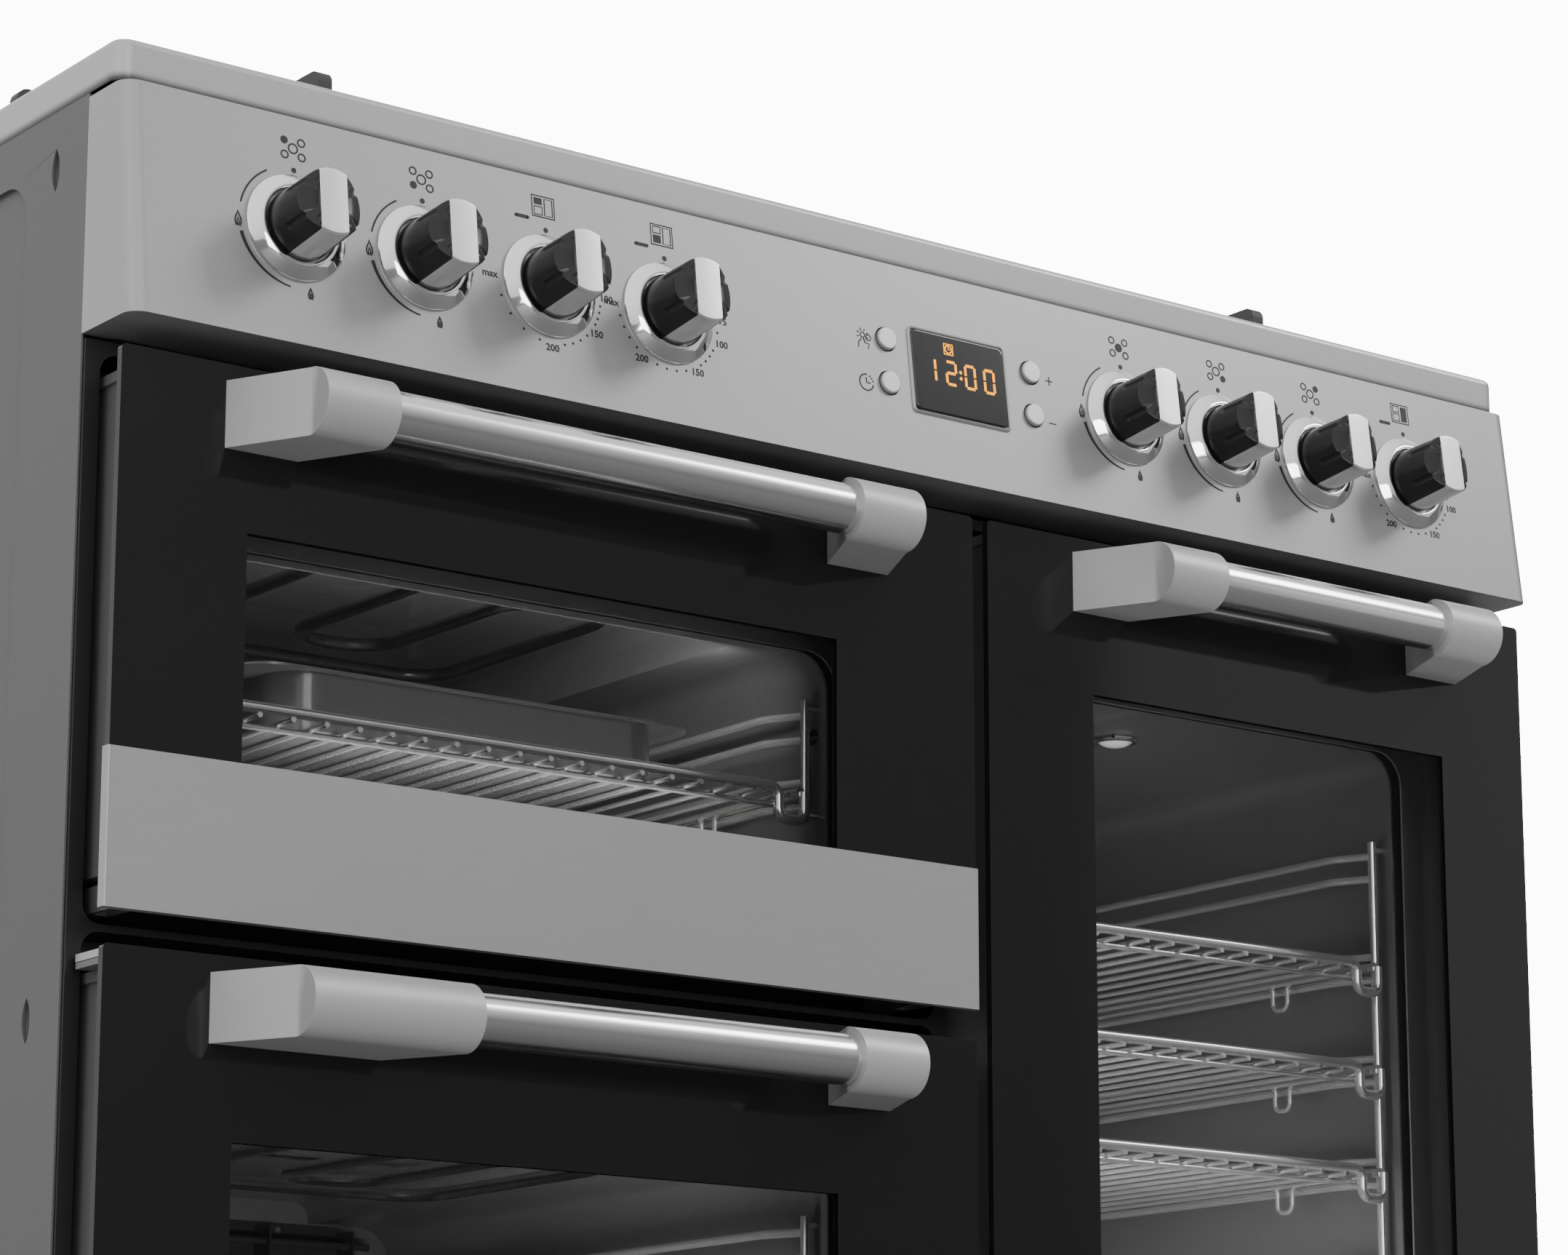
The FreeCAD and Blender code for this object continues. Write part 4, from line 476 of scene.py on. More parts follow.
def arc(x, y, radius, start, end, count):
    """Points of an arc, with angles in degrees."""
    return [polar(radius, start + (end - start) * i / (count - 1), x, y) for i in range(count)]


def circle(radius, count, x=0.0, y=0.0):
    return arc(x, y, radius, 0, 360 - 360 / count, count)


def moved(points, x, y):
    return [(x + a, y + b) for a, b in points]


def faced_outward(shape):
    bmesh.ops.recalc_face_normals(shape, faces=shape.faces)
    return shape


def joined(rings, closed):
    """A skin through rings of points, and its rings of vertices. Closed joins the last to the first."""
    shape = bmesh.new()
    made = [[shape.verts.new(point) for point in ring] for ring in rings]
    following = made[1:] + made[:1] if closed else made[1:]
    for lower, upper in zip(made, following):
        for i in range(len(lower)):
            j = (i + 1) % len(lower)
            shape.faces.new((lower[i], lower[j], upper[j], upper[i]))
    return shape, made


def capped(rings):
    """A closed skin through rings of points with a cap at each end."""
    shape, made = joined(rings, False)
    shape.faces.new(made[0][::-1])
    shape.faces.new(made[-1])
    return shape


def looped(rings):
    """A closed tube through rings of points that ends where it starts."""
    return faced_outward(joined(rings, True)[0])


def lathe(profile, count=72):
    """A closed ring turned round the third axis from a closed outline of (radius, height)."""
    return looped([[(x * far, y * far, height) for far, height in profile] for x, y in circle(1, count)])


def level_circle(radius, height, count):
    """Points of a full circle at a height."""
    return [(x, y, height) for x, y in circle(radius, count)]


# ------------------------------------------------------------------ knobs, in millimetres from the fascia
KNOB_BACK, KNOB_FACE = 3.9, 34.5
KNOB_GROOVES = [math.radians(turn) for turn in (31, 149, 211, 329)]
STRIP_HALF = 7.25
BEZEL_MM = (
    (18.8, 0.2), (26.7, 0.2), (26.7, 0.8), (26.55, 1.15), (26.2, 1.4), (22.9, 3.9), (20.9, 5.1), (20.3, 5.3),
    (19.6, 5.3), (19.0, 5.1), (18.8, 4.6),
)


def knob_radius(height):
    return 17.6 - (height - KNOB_BACK) / (KNOB_FACE - KNOB_BACK)


def knob_cheek(x):
    """Height of the black cheeks, which slope away from the strip."""
    return 33.9 - max(0.0, abs(x) - STRIP_HALF) * 0.44


def knob_body():
    """The black body: a slight cone with sloped cheeks and four grooves that run out at the top."""
    turns = [2 * math.pi * i / 144 for i in range(144)]

    def groove(turn, height):
        away = min(abs((turn - middle + math.pi) % (2 * math.pi) - math.pi) for middle in KNOB_GROOVES) * 17.1
        ramp = min(max((height - 15.6) / 1.4, 0.0), 1.0)
        return max(math.sqrt(max(1.6**2 - away**2, 0.0)) - 0.3, 0.0) * ramp

    def under_strip(turn):
        return 1.0 if abs(17.1 * math.cos(turn)) < STRIP_HALF - 0.1 else 0.0

    def point(turn, share, height, inset=0.0):
        reach = (knob_radius(height) - groove(turn, height) - under_strip(turn) - inset) * share
        return (reach * math.cos(turn), reach * math.sin(turn), height)

    rings = [[point(turn, 1, KNOB_BACK, 0.5) for turn in turns]]
    for height in (KNOB_BACK + 0.5, 10, 15, 15.6, 16.0, 16.5, 17.0, 20, 24, 26):
        rings.append([point(turn, 1, height) for turn in turns])
    fillet = 1.0
    for angle in (0, 30, 60, 90):
        rise, inset = fillet * math.sin(math.radians(angle)), fillet * (1 - math.cos(math.radians(angle)))
        ring = []
        for turn in turns:
            top = knob_cheek(16.7 * math.cos(turn)) - under_strip(turn)
            ring.append(point(turn, 1, top - fillet + rise, inset))
        rings.append(ring)
    for share in (0.85, 0.65, 0.45, 0.2):
        ring = []
        for turn in turns:
            x, y, _ = point(turn, share, 30, fillet)
            ring.append((x, y, knob_cheek(x) - (1.0 if abs(x) < STRIP_HALF - 0.1 else 0.0)))
        rings.append(ring)
    return capped(rings)


def knob_strip():
    """The bright strip that runs up one side, over the face and down the other."""
    foot, shoulder, fillet = KNOB_BACK + 0.1, 33.2, 1.2
    side = [(foot, 0.0), (12.0, 0.0), (22.0, 0.0), (30.0, 0.0), (shoulder, 0.0)]
    for turn in map(math.radians, (30, 55, 75, 90)):
        side.append((shoulder + fillet * math.sin(turn), fillet * (1 - math.cos(turn))))
    columns = [STRIP_HALF * (-1 + i / 5) for i in range(11)]
    shape = bmesh.new()

    def rows(thickness):
        lines = []
        for sign, part in ((-1, side), (1, side[::-1])):
            for height, inset in part:
                line = []
                for x in columns:
                    y = math.sqrt(knob_radius(height) ** 2 - x * x) - inset - thickness
                    crown = 0.12 * (x / STRIP_HALF) ** 2 if height > shoulder else 0.0
                    line.append((x, sign * y, max(height - thickness, foot) - crown))
                lines.append(line)
            if sign < 0:
                reach = knob_radius(shoulder + fillet) - fillet - thickness
                face = [height for _, _, height in lines[-1]]
                for share in (0.6, 0.2, -0.2, -0.6):
                    lines.append([(x, -share * reach, z) for x, z in zip(columns, face, strict=True)])
        return lines

    outer = [[shape.verts.new(p) for p in line] for line in rows(0.0)]
    inner = [[shape.verts.new(p) for p in line] for line in rows(1.7)]
    for i in range(len(outer) - 1):
        for j in range(len(columns) - 1):
            shape.faces.new((outer[i][j], outer[i][j + 1], outer[i + 1][j + 1], outer[i + 1][j]))
            shape.faces.new((inner[i][j], inner[i + 1][j], inner[i + 1][j + 1], inner[i][j + 1]))
        for j in (0, -1):
            quad = (outer[i][j], outer[i + 1][j], inner[i + 1][j], inner[i][j])
            shape.faces.new(quad if j == 0 else quad[::-1])
    for i in (0, -1):
        for j in range(len(columns) - 1):
            quad = (outer[i][j], inner[i][j], inner[i][j + 1], outer[i][j + 1])
            shape.faces.new(quad if i == 0 else quad[::-1])
    return faced_outward(shape)


def knob_shaft():
    """The shaft of a thermostat, with chamfered ends and a flat for its knob."""
    rings = []
    for height, radius in ((-30, 3.4), (-29.4, 4.0), (5, 4.0), (5.01, 4.0), (14.4, 4.0), (15, 3.4)):
        ring = []
        for x, y in circle(radius, 24):
            ring.append((x, min(y, 2.9) if height > 5 else y, height))
        rings.append(ring)
    return capped(rings)


# ------------------------------------------------------------------ settings
class CookerFinishSettings(bpy.types.PropertyGroup):
    steel_color: bpy.props.FloatVectorProperty(
        name="Steel colour", description="Tint of the brushed stainless steel", subtype="COLOR", size=3,
        default=(0.37, 0.37, 0.368), min=0, max=1,
    )
    # The hob's steel is the fascia's steel in a lighter colour: painted light on its upright front and sides.
    rim_color: bpy.props.FloatVectorProperty(
        name="Rim colour", description="Tint of the hob's steel", subtype="COLOR", size=3,
        default=(0.47, 0.47, 0.468), min=0, max=1,
    )
    grain_length: bpy.props.FloatProperty(
        name="Grain length", description="Typical length of a scratch in the brushed steel",
        default=0.02, unit="LENGTH",
    )
    grain_width: bpy.props.FloatProperty(
        name="Grain width", description="Typical width of a scratch in the brushed steel",
        default=0.0005, unit="LENGTH",
    )
    side_color: bpy.props.FloatVectorProperty(
        name="Side colour", description="Paint of the side panels", subtype="COLOR", size=3,
        default=(0.092, 0.092, 0.094), min=0, max=1,
    )
    knob_color: bpy.props.FloatVectorProperty(
        name="Knob colour", description="Plastic of the knobs", subtype="COLOR", size=3,
        default=(0.010, 0.010, 0.0105), min=0, max=1,
    )
    bracket_color: bpy.props.FloatVectorProperty(
        name="Bracket colour", description="Paint of the handle brackets", subtype="COLOR", size=3,
        default=(0.42, 0.42, 0.42), min=0, max=1,
    )
    sheet_edge: bpy.props.FloatProperty(
        name="Sheet edge", description="Rounding of steel sheet edges", default=0.0006, unit="LENGTH",
    )


class CookerGlassSettings(bpy.types.PropertyGroup):
    window_left: bpy.props.FloatProperty(
        name="Wide windows, left", description="Left edge of the windows of the two wide doors",
        default=-0.382, unit="LENGTH",
    )
    window_right: bpy.props.FloatProperty(
        name="Wide windows, right", description="Right edge of the windows of the two wide doors",
        default=-0.043, unit="LENGTH",
    )
    tall_left: bpy.props.FloatProperty(
        name="Tall window, left", description="Left edge of the window of the tall door",
        default=0.127, unit="LENGTH",
    )
    tall_right: bpy.props.FloatProperty(
        name="Tall window, right", description="Right edge of the window of the tall door",
        default=0.385, unit="LENGTH",
    )
    clear_alpha: bpy.props.FloatProperty(
        name="Window tint", description="How much of the light each face of a window keeps back",
        default=0.06,
        min=0, max=1, subtype="FACTOR",
    )


class CookerClockSettings(bpy.types.PropertyGroup):
    digit_height: bpy.props.FloatProperty(
        name="Digit height", description="Height of the clock's digits", default=0.0125, unit="LENGTH",
    )
    digit_glow: bpy.props.FloatProperty(
        name="Digit glow", description="Emission strength of the digits", default=1.5, min=0,
    )
    digit_color: bpy.props.FloatVectorProperty(
        name="Digit colour", description="Colour of the lit digits", subtype="COLOR", size=3,
        default=(1.0, 0.35, 0.0), min=0, max=1,
    )


class CookerStageSettings(bpy.types.PropertyGroup):
    floor_color: bpy.props.FloatVectorProperty(
        name="Floor colour", description="Colour of the studio floor", subtype="COLOR", size=3,
        default=(0.55, 0.55, 0.55), min=0, max=1,
    )
    key_power: bpy.props.FloatProperty(
        name="Key light", description="Power of the soft light from the upper right",
        default=48, min=0, unit="POWER",
    )
    oven_glow: bpy.props.FloatProperty(
        name="Oven glow", description="Power of the faint light inside each oven",
        default=1.0, min=0, unit="POWER",
    )
    sky: bpy.props.FloatProperty(
        name="Surround", description="Brightness of the surrounding white studio", default=1.35, min=0,
    )


def settings():
    scene = bpy.context.scene
    return scene.cooker_finish, scene.cooker_glass, scene.cooker_clock, scene.cooker_stage


# ------------------------------------------------------------------ operators
class COOKER_OT_materials(bpy.types.Operator):
    """Make the finishes and give every CAD node its own"""

    bl_idname = "cooker.materials"
    bl_label = "Finishes"

    def execute(self, context):
        finish, _, clock, _ = settings()
        for make in (brushed_group, mottled_group, spangled_group, glass_print_group, seam_group):
            make()
        grain = (1 / finish.grain_length, 1 / finish.grain_width, 1 / finish.grain_width)
        steel, rim, side = tuple(finish.steel_color), tuple(finish.rim_color), tuple(finish.side_color)
        knob, bracket, digit = tuple(finish.knob_color), tuple(finish.bracket_color), tuple(clock.digit_color)
        sheet = (0.42, grain, 0.09, 0.14, 0.14, 0.00005, dict(Metallic=0.65))
        # Finish, colour, roughness, scale, contrast, roughness swing, bump, bump depth, shader inputs.
        looks = {
            "stainless": (BRUSHED, steel, *sheet),
            "handle_steel": (BRUSHED, 0.80, 0.2, (8, 1500, 1500), 0.03, 0.08, 0, 0, METAL),
            "grey_paint": (MOTTLE, side, 0.5, 900, 0.05, 0.06, 0.15, 0.0001, {}),
            "galvanised": (SPANGLE, (0.44, 0.45, 0.46), 0.42, 90, 0.12, 0.2, 0, 0, dict(Metallic=0.9)),
            "black_plastic": (MOTTLE, 0.02, 0.42, 1200, 0.1, 0.1, 0.1, 0.0001, {}),
            "black_paint": (MOTTLE, 0.014, 0.38, 700, 0.1, 0.1, 0.08, 0.0001, {}),
            "foot_plastic": (MOTTLE, (0.018, 0.018, 0.019), 0.5, 800, 0.1, 0.1, 0.1, 0.0001, {}),
            "burner_aluminium": (MOTTLE, (0.5, 0.5, 0.49), 0.45, 1500, 0.08, 0.15, 0.2, 0.0001, METAL),
            "black_enamel": (
                MOTTLE, (0.085, 0.085, 0.086), 0.24, 260, 0.12, 0.08, 0.06, 0.0002, dict(Coat_Weight=0.4)
            ),
            "iron": (MOTTLE, (0.03, 0.03, 0.031), 0.55, 1400, 0.25, 0.15, 0.5, 0.0002, {}),
            "chrome": (MOTTLE, (0.80, 0.80, 0.79), 0.2, 300, 0.02, 0.05, 0, 0, dict(Metallic=0.85)),
            "display_plastic": (MOTTLE, 0.008, 0.12, 200, 0.1, 0.04, 0, 0, dict(Coat_Weight=0.6)),
            "brass": (MOTTLE, (0.70, 0.48, 0.2), 0.3, 600, 0.08, 0.1, 0, 0, METAL),
            "element_steel": (MOTTLE, (0.36, 0.35, 0.34), 0.3, 500, 0.12, 0.15, 0, 0, METAL),
            "seal_rubber": (MOTTLE, 0.02, 0.7, 1500, 0.15, 0.1, 0.2, 0.0001, {}),
            "door_glass": (MOTTLE, 0.010, 0.05, 60, 0.05, 0.02, 0, 0, dict(Specular_IOR_Level=0.3)),
            "liner_paint": (MOTTLE, 0.12, 0.42, 800, 0.06, 0.1, 0.08, 0.0001, {}),
            "spindle_steel": (BRUSHED, 0.5, 0.3, (1500, 60, 60), 0.05, 0.1, 0, 0, METAL),
            "knob_plastic": (MOTTLE, knob, 0.3, 1500, 0.1, 0.08, 0.05, 0.0001, dict(Specular_IOR_Level=0.4)),
            "button_plastic": (MOTTLE, 0.52, 0.33, 900, 0.03, 0.06, 0, 0, dict(Metallic=0.7)),
            # Lighter copy of the steel for the hob: painted light.
            "stainless_rim": (BRUSHED, rim, *sheet),
            "bezel_chrome": (MOTTLE, 0.86, 0.08, 300, 0.02, 0.03, 0, 0, METAL),
            "knob_strip": (BRUSHED, 0.85, 0.3, (1200, 1200, 90), 0.03, 0.08, 0, 0, dict(Metallic=0.95)),
            "bracket_paint": (MOTTLE, bracket, 0.42, 1500, 0.04, 0.08, 0.06, 0.0001, dict(Metallic=0.35)),
            "printed_ink": (MOTTLE, 0.012, 0.55, 1500, 0.1, 0.1, 0, 0, {}),
            "digit_light": (MOTTLE, digit, 0.6, 900, 0.02, 0.02, 0, 0, dict(Specular_IOR_Level=0.1)),
            "lamp_lens": (MOTTLE, (0.75, 0.75, 0.72), 0.25, 400, 0.02, 0.03, 0, 0, dict(Coat_Weight=0.5)),
            "inner_glass": (MOTTLE, 0.03, 0.05, 60, 0.05, 0.02, 0, 0, dict(Alpha=0.03)),
        }
        for name, (*values, shader) in looks.items():
            material(name, *values, **shader)
        # On the hob's steel, painted shade darkens the lowest few millimetres of the rim's front.
        tree = look_of("stainless_rim").node_tree
        surface = tree.nodes["Principled BSDF"]
        colour = surface.inputs["Base Color"].links[0].from_socket
        values = {"Color": colour, "Low": RIM_SHADE_LOW, "High": RIM_SHADE_HIGH, "Shade": 0.12}
        shade = add(tree, "ShaderNodeGroup", values, node_tree=bpy.data.node_groups[SEAM_SHADE])
        tree.links.new(shade.outputs["Color"], surface.inputs["Base Color"])
        glow = look_of("digit_light").node_tree
        surface = glow.nodes["Principled BSDF"]
        look = next(node for node in glow.nodes if node.type == "GROUP")
        glow.links.new(look.outputs["Color"], surface.inputs["Emission Color"])
        surface.inputs["Emission Strength"].default_value = clock.digit_glow
        for name, node in NODES.items():
            node.data.materials.clear()
            node.data.materials.append(look_of(SLOTS[name]))
        return {"FINISHED"}


class COOKER_OT_sheet_metal(bpy.types.Operator):
    """Show the steel and painted sheets with rounded edges"""

    bl_idname = "cooker.sheet_metal"
    bl_label = "Sheet metal"

    def execute(self, context):
        edge = settings()[0].sheet_edge
        for node in ("top_left_door_trim_band", "side_panel_left", "side_panel_right", "front_frame"):
            rounded_node(node + "_sheet", node, SLOTS[node], edge)
        rounded_node("control_panel_sheet", "control_panel", "stainless", edge * 1.8)
        rounded_node("hob_tray_sheet", "hob_tray", "stainless_rim", edge)
        return {"FINISHED"}


class COOKER_OT_knobs(bpy.types.Operator):
    """Show each knob as a black body with a bright strip over it"""

    bl_idname = "cooker.knobs"
    bl_label = "Knobs and bezels"

    def execute(self, context):
        rings = []
        for knob, x in KNOB_X_MM.items():
            node, at = "knob_" + knob, Matrix.Translation((x, 0, 0))
            shapes = [(knob_body(), "knob_plastic"), (knob_strip(), "knob_strip")]
            if knob.endswith("oven"):
                shapes.append((knob_shaft(), "spindle_steel"))
            build(node + "_finished", shapes, node, [node], 0.0002, FASCIA_MM @ at)
            ring = lathe(BEZEL_MM)
            ring.transform(at)
            rings.append((ring, "bezel_chrome"))
        build("knob_bezels_polished", rings, "knob_bezels", ["knob_bezels"], place=FASCIA_MM, sharp=50)
        for button in BUTTONS_MM:
            node = "button_" + button
            rounded_node(node + "_finished", node, "button_plastic", 0.0007)
        return {"FINISHED"}


# The left half of a flame, from its foot to its tip.
FLAME_OUTER = [(-1.0, -3.6), (-1.9, -1.6), (-1.7, 0.3), (-0.7, 2.2), (0, 4.2)]
FLAME_INNER = [(-0.1, -3.4), (-0.75, -1.8), (-0.5, -0.6), (0, 0.9)]
# The dial words stand on an ellipse round the knob, with this reach across and up.
WORD_REACH_MM = {"number": (33.6, 32.2), "max": (34.2, 32.2)}
WORD_SIZE_MM = 5.2
DOT_CIRCLE_MM, DOT_MM = 30.0, 0.72


class COOKER_OT_markings(bpy.types.Operator):
    """Print the burner, oven and dial symbols on the fascia"""

    bl_idname = "cooker.markings"
    bl_label = "Fascia markings"

    def execute(self, context):
        ink = Ink()
        lit = {
            "rear_left_burner": (-1, 1), "front_left_burner": (-1, -1), "centre_burner": (0, 0),
            "front_right_burner": (1, -1), "rear_right_burner": (1, 1),
        }
        for knob, x in KNOB_X_MM.items():
            ink.disc(x, 29.5, 1.4)
            if knob in lit:
                self.burner_icon(ink, x, 40.6, lit[knob])
                self.flame_scale(ink, x)
            else:
                self.oven_icon(ink, x - 0.8, 41.6, knob)
                ink.stroke([(x - 17, 34.3), (x - 10.2, 34.3)], 1.9)
                ink.disc(x - 17, 34.3, 0.95)
                ink.disc(x - 10.2, 34.3, 0.95)
                self.heat_scale(ink, x, knob == "top_left_oven")
        self.button_icons(ink)
        mesh = ink.mesh("fascia_markings", look_of("printed_ink"), FASCIA_PLACE)
        show("fascia_markings", mesh, "control_panel")
        return {"FINISHED"}

    @staticmethod
    def burner_icon(ink, x, y, lit):
        for column, row in ((-1, 1), (1, 1), (-1, -1), (1, -1), (0, 0)):
            radius = 2.4 if (column, row) == (0, 0) else 1.85
            at = (x + column * 4.6, y + row * 3.7)
            if (column, row) == lit:
                ink.disc(*at, radius + 0.15)
            else:
                ink.ring(*at, radius, 0.8)

    @staticmethod
    def flame_scale(ink, x):
        ink.stroke(arc(x, 0, 30.2, 119, 166, 16), 0.95)
        ink.stroke(arc(x, 0, 30.4, 194, 262, 24), 1.9, 0.8)
        for turn, size in ((180, 1.0), (282, 0.75)):
            at = polar(31.0, turn, x, -1.5)
            for left, width in ((FLAME_OUTER, 0.8), (FLAME_INNER, 0.6)):
                line = left + [(-a, b) for a, b in left[-2::-1]]
                ink.stroke(moved([(a * size * 0.85, b * size) for a, b in line], *at), width)

    @staticmethod
    def oven_icon(ink, x, y, knob):
        frame_line = [(-6.5, -5.5), (6.5, -5.5), (6.5, 5.5), (-6.5, 5.5)]
        ink.stroke(moved(frame_line, x, y), 0.8, closed=True)
        boxes = {
            "top_left_oven": (-5.3, 0.9, -0.6, 4.4), "lower_left_oven": (-5.3, -4.4, -0.6, -0.2),
            "right_oven": (0.8, -4.4, 5.3, 4.4),
        }
        for oven, (left, bottom, right, top) in boxes.items():
            corners = moved(((left, bottom), (right, bottom), (right, top), (left, top)), x, y)
            if oven == knob:
                ink.fill(corners)
            else:
                ink.stroke(corners, 0.65, closed=True)

    @staticmethod
    def heat_scale(ink, x, short):
        if short:
            words = ((0, "100"), (-38, "150"), (-90, "200"), (180, "max"))
        else:
            words = ((4, "75"), (-19, "100"), (-62, "150"), (-122, "200"), (181, "max"))
        for turn, word in words:
            across, up = WORD_REACH_MM["max" if word == "max" else "number"]
            ink.text(word, polar(across, turn, x)[0], polar(up, turn)[1], WORD_SIZE_MM)

    @staticmethod
    def button_icons(ink):
        x, y = BUTTONS_MM["clock"]
        x, y = x - 14.9, y - 2.3
        ink.stroke(arc(x, y, 4.4, 82, 350, 26), 0.8)
        ink.stroke([(x, y + 2.8), (x, y), (x + 2.6, y - 0.2)], 0.75)
        for turn in (16, 36, 56):
            ink.disc(*polar(4.4, turn, x, y), 0.5, 10)
        x, y = BUTTONS_MM["light"]
        x, y = x - 14.5, y - 2.3
        ink.ring(x - 0.6, y + 1.9, 1.4, 0.6)
        ink.ring(x + 3.1, y + 0.9, 1.6, 0.6)
        for turn in range(20, 360, 45):
            ink.stroke([polar(far, turn, x - 0.6, y + 1.9) for far in (2.4, 3.9)], 0.6)
        thumb = ((-3.6, -5.4), (-3.4, -2.2), (-2.0, -0.9))
        fingers = ((2.6, -5.4), (3.4, -2.6), (0.6, -2.2), (-0.2, 0.2))
        for line in (thumb, fingers):
            ink.stroke(moved(line, x, y), 0.6)
        x, y = BUTTONS_MM["plus"]
        ink.stroke([(x + 10.6, y - 2.3), (x + 15.4, y - 2.3)], 0.65)
        ink.stroke([(x + 13, y - 4.7), (x + 13, y + 0.1)], 0.65)
        x, y = BUTTONS_MM["minus"]
        ink.stroke([(x + 10.6, y - 2.2), (x + 15.4, y - 2.2)], 0.65)


def repeated(tree, given, out, points, instance):
    """Ends a geometry tree with real copies of an instance on points, in the given material."""
    placed = add(tree, "GeometryNodeInstanceOnPoints", {"Points": points, "Instance": instance})
    real = add(tree, "GeometryNodeRealizeInstances", {"Geometry": placed.outputs["Instances"]})
    look = {"Geometry": real.outputs[0], "Material": given["Material"]}
    dressed = add(tree, "GeometryNodeSetMaterial", look)
    tree.links.new(dressed.outputs[0], out.inputs["Geometry"])
    return tree


def dots_tree():
    """Geometry nodes: round dots at even angles along an arc."""
    inputs = {
        "Count": (INTEGER, 4), "Radius": (FLOAT, 30.0), "Start": (FLOAT, 0.0),
        "Sweep": (FLOAT, 1.0), "Dot Radius": (FLOAT, 0.7),
        "Depth": (FLOAT, 0.08), "Material": (MATERIAL, None),
    }
    tree, given, out = group("dial_dots", "GeometryNodeTree", inputs, {"Geometry": GEOMETRY})
    path_inputs = {
        "Resolution": given["Count"], "Radius": given["Radius"],
        "Start Angle": given["Start"], "Sweep Angle": given["Sweep"],
    }
    path = add(tree, "GeometryNodeCurveArc", path_inputs, mode="RADIUS")
    round_dot = {"Vertices": 14, "Radius": given["Dot Radius"], "Depth": given["Depth"]}
    dot = add(tree, "GeometryNodeMeshCylinder", round_dot)
    return repeated(tree, given, out, path.outputs["Curve"], dot.outputs["Mesh"])


def screw_row_tree():
    """Geometry nodes: copies of the given screw head at even steps along a line."""
    inputs = {
        "Geometry": (GEOMETRY, None), "Count": (INTEGER, 4),
        "Start": (VECTOR, (0, 0, 0)), "Step": (VECTOR, (0, 0, 1)),
        "Material": (MATERIAL, None),
    }
    tree, given, out = group("screw_row", "GeometryNodeTree", inputs, {"Geometry": GEOMETRY})
    row = {"Count": given["Count"], "Start Location": given["Start"], "Offset": given["Step"]}
    places = add(tree, "GeometryNodeMeshLine", row)
    return repeated(tree, given, out, places.outputs["Mesh"], given["Geometry"])


def screw_head():
    """A pan head with a cross-shaped recess, in millimetres above its seat."""
    turns = [2 * math.pi * i / 24 for i in range(24)]
    dome = ((3.7, -0.1), (3.7, 0.4), (3.3, 1.0), (2.5, 1.35))
    rings = [level_circle(radius, height, 24) for radius, height in dome]
    for scale, height in ((1.0, 1.45), (0.85, 0.7)):
        reach = [scale * (0.7 + 1.2 * abs(math.cos(2 * turn)) ** 3) for turn in turns]
        pairs = zip(reach, turns, strict=True)
        rings.append([(far * math.cos(turn), far * math.sin(turn), height) for far, turn in pairs])
    return capped(rings)


def nodes_mesh(tree, values, given=None):
    """The plain mesh that a geometry node tree makes from these named inputs and a given mesh."""
    holder = bpy.data.objects.new("maker", given or bpy.data.meshes.new("maker"))
    bpy.context.scene.collection.objects.link(holder)
    modifier = holder.modifiers.new("maker", "NODES")
    modifier.node_group = tree
    for item in tree.interface.items_tree:
        if item.item_type == "SOCKET" and item.in_out == "INPUT" and item.name in values:
            modifier[item.identifier] = values[item.name]
    holder.update_tag()
    mesh = bpy.data.meshes.new_from_object(holder.evaluated_get(bpy.context.evaluated_depsgraph_get()))
    old = holder.data
    bpy.data.objects.remove(holder)
    bpy.data.meshes.remove(old)
    return mesh


class COOKER_OT_dial_dots(bpy.types.Operator):
    """Print the rows of dots between the oven temperatures"""

    bl_idname = "cooker.dial_dots"
    bl_label = "Dial dots"

    def execute(self, context):
        tree, ink = dots_tree(), look_of("printed_ink")
        short = ((4, -8.5, -29.5), (4, -46, -76), (4, -104, -160))
        long = ((1, -8.4, -8.4), (4, -29, -53), (4, -73, -107), (4, -133, -167))
        gathered = bmesh.new()
        for knob in ("top_left_oven", "lower_left_oven", "right_oven"):
            for count, start, end in short if knob == "top_left_oven" else long:
                values = {
                    "Count": max(count, 2), "Radius": DOT_CIRCLE_MM, "Start": math.radians(start),
                    "Sweep": math.radians(end - start), "Dot Radius": DOT_MM, "Depth": 0.08, "Material": ink,
                }
                mesh = nodes_mesh(tree, values)
                mesh.transform(FASCIA_MM @ Matrix.Translation((KNOB_X_MM[knob], 0, 0.01)))
                gathered.from_mesh(mesh)
                bpy.data.meshes.remove(mesh)
        bmesh.ops.remove_doubles(gathered, verts=gathered.verts, dist=1e-7)
        build("dial_dots", [(faced_outward(gathered), "printed_ink")], "control_panel")
        return {"FINISHED"}


class COOKER_OT_back_screws(bpy.types.Operator):
    """Screw the back panel on along its edges"""

    bl_idname = "cooker.back_screws"
    bl_label = "Back screws"

    def execute(self, context):
        low, high = span(NODES["back_panel"].data.vertices)
        face, side, top, bottom = high.y, high.x - 0.008, high.z - 0.009, low.z + 0.008
        rows = (
            (6, (-side, face, 0.16), (0, 0, 0.13)), (6, (side, face, 0.16), (0, 0, 0.13)),
            (6, (-0.35, face, top), (0.14, 0, 0)), (6, (-0.35, face, bottom), (0.14, 0, 0)),
        )
        tree, steel = screw_row_tree(), look_of("spindle_steel")
        backward = Matrix.Rotation(math.radians(-90), 4, "X") @ Matrix.Scale(MM, 4)
        gathered = bmesh.new()
        for count, start, step in rows:
            head = mesh_of("head", [(screw_head(), steel)], backward)
            mesh = nodes_mesh(tree, {"Count": count, "Start": start, "Step": step, "Material": steel}, head)
            gathered.from_mesh(mesh)
            bpy.data.meshes.remove(mesh)
        build("back_screws", [(faced_outward(gathered), "spindle_steel")], "back_panel")
        return {"FINISHED"}


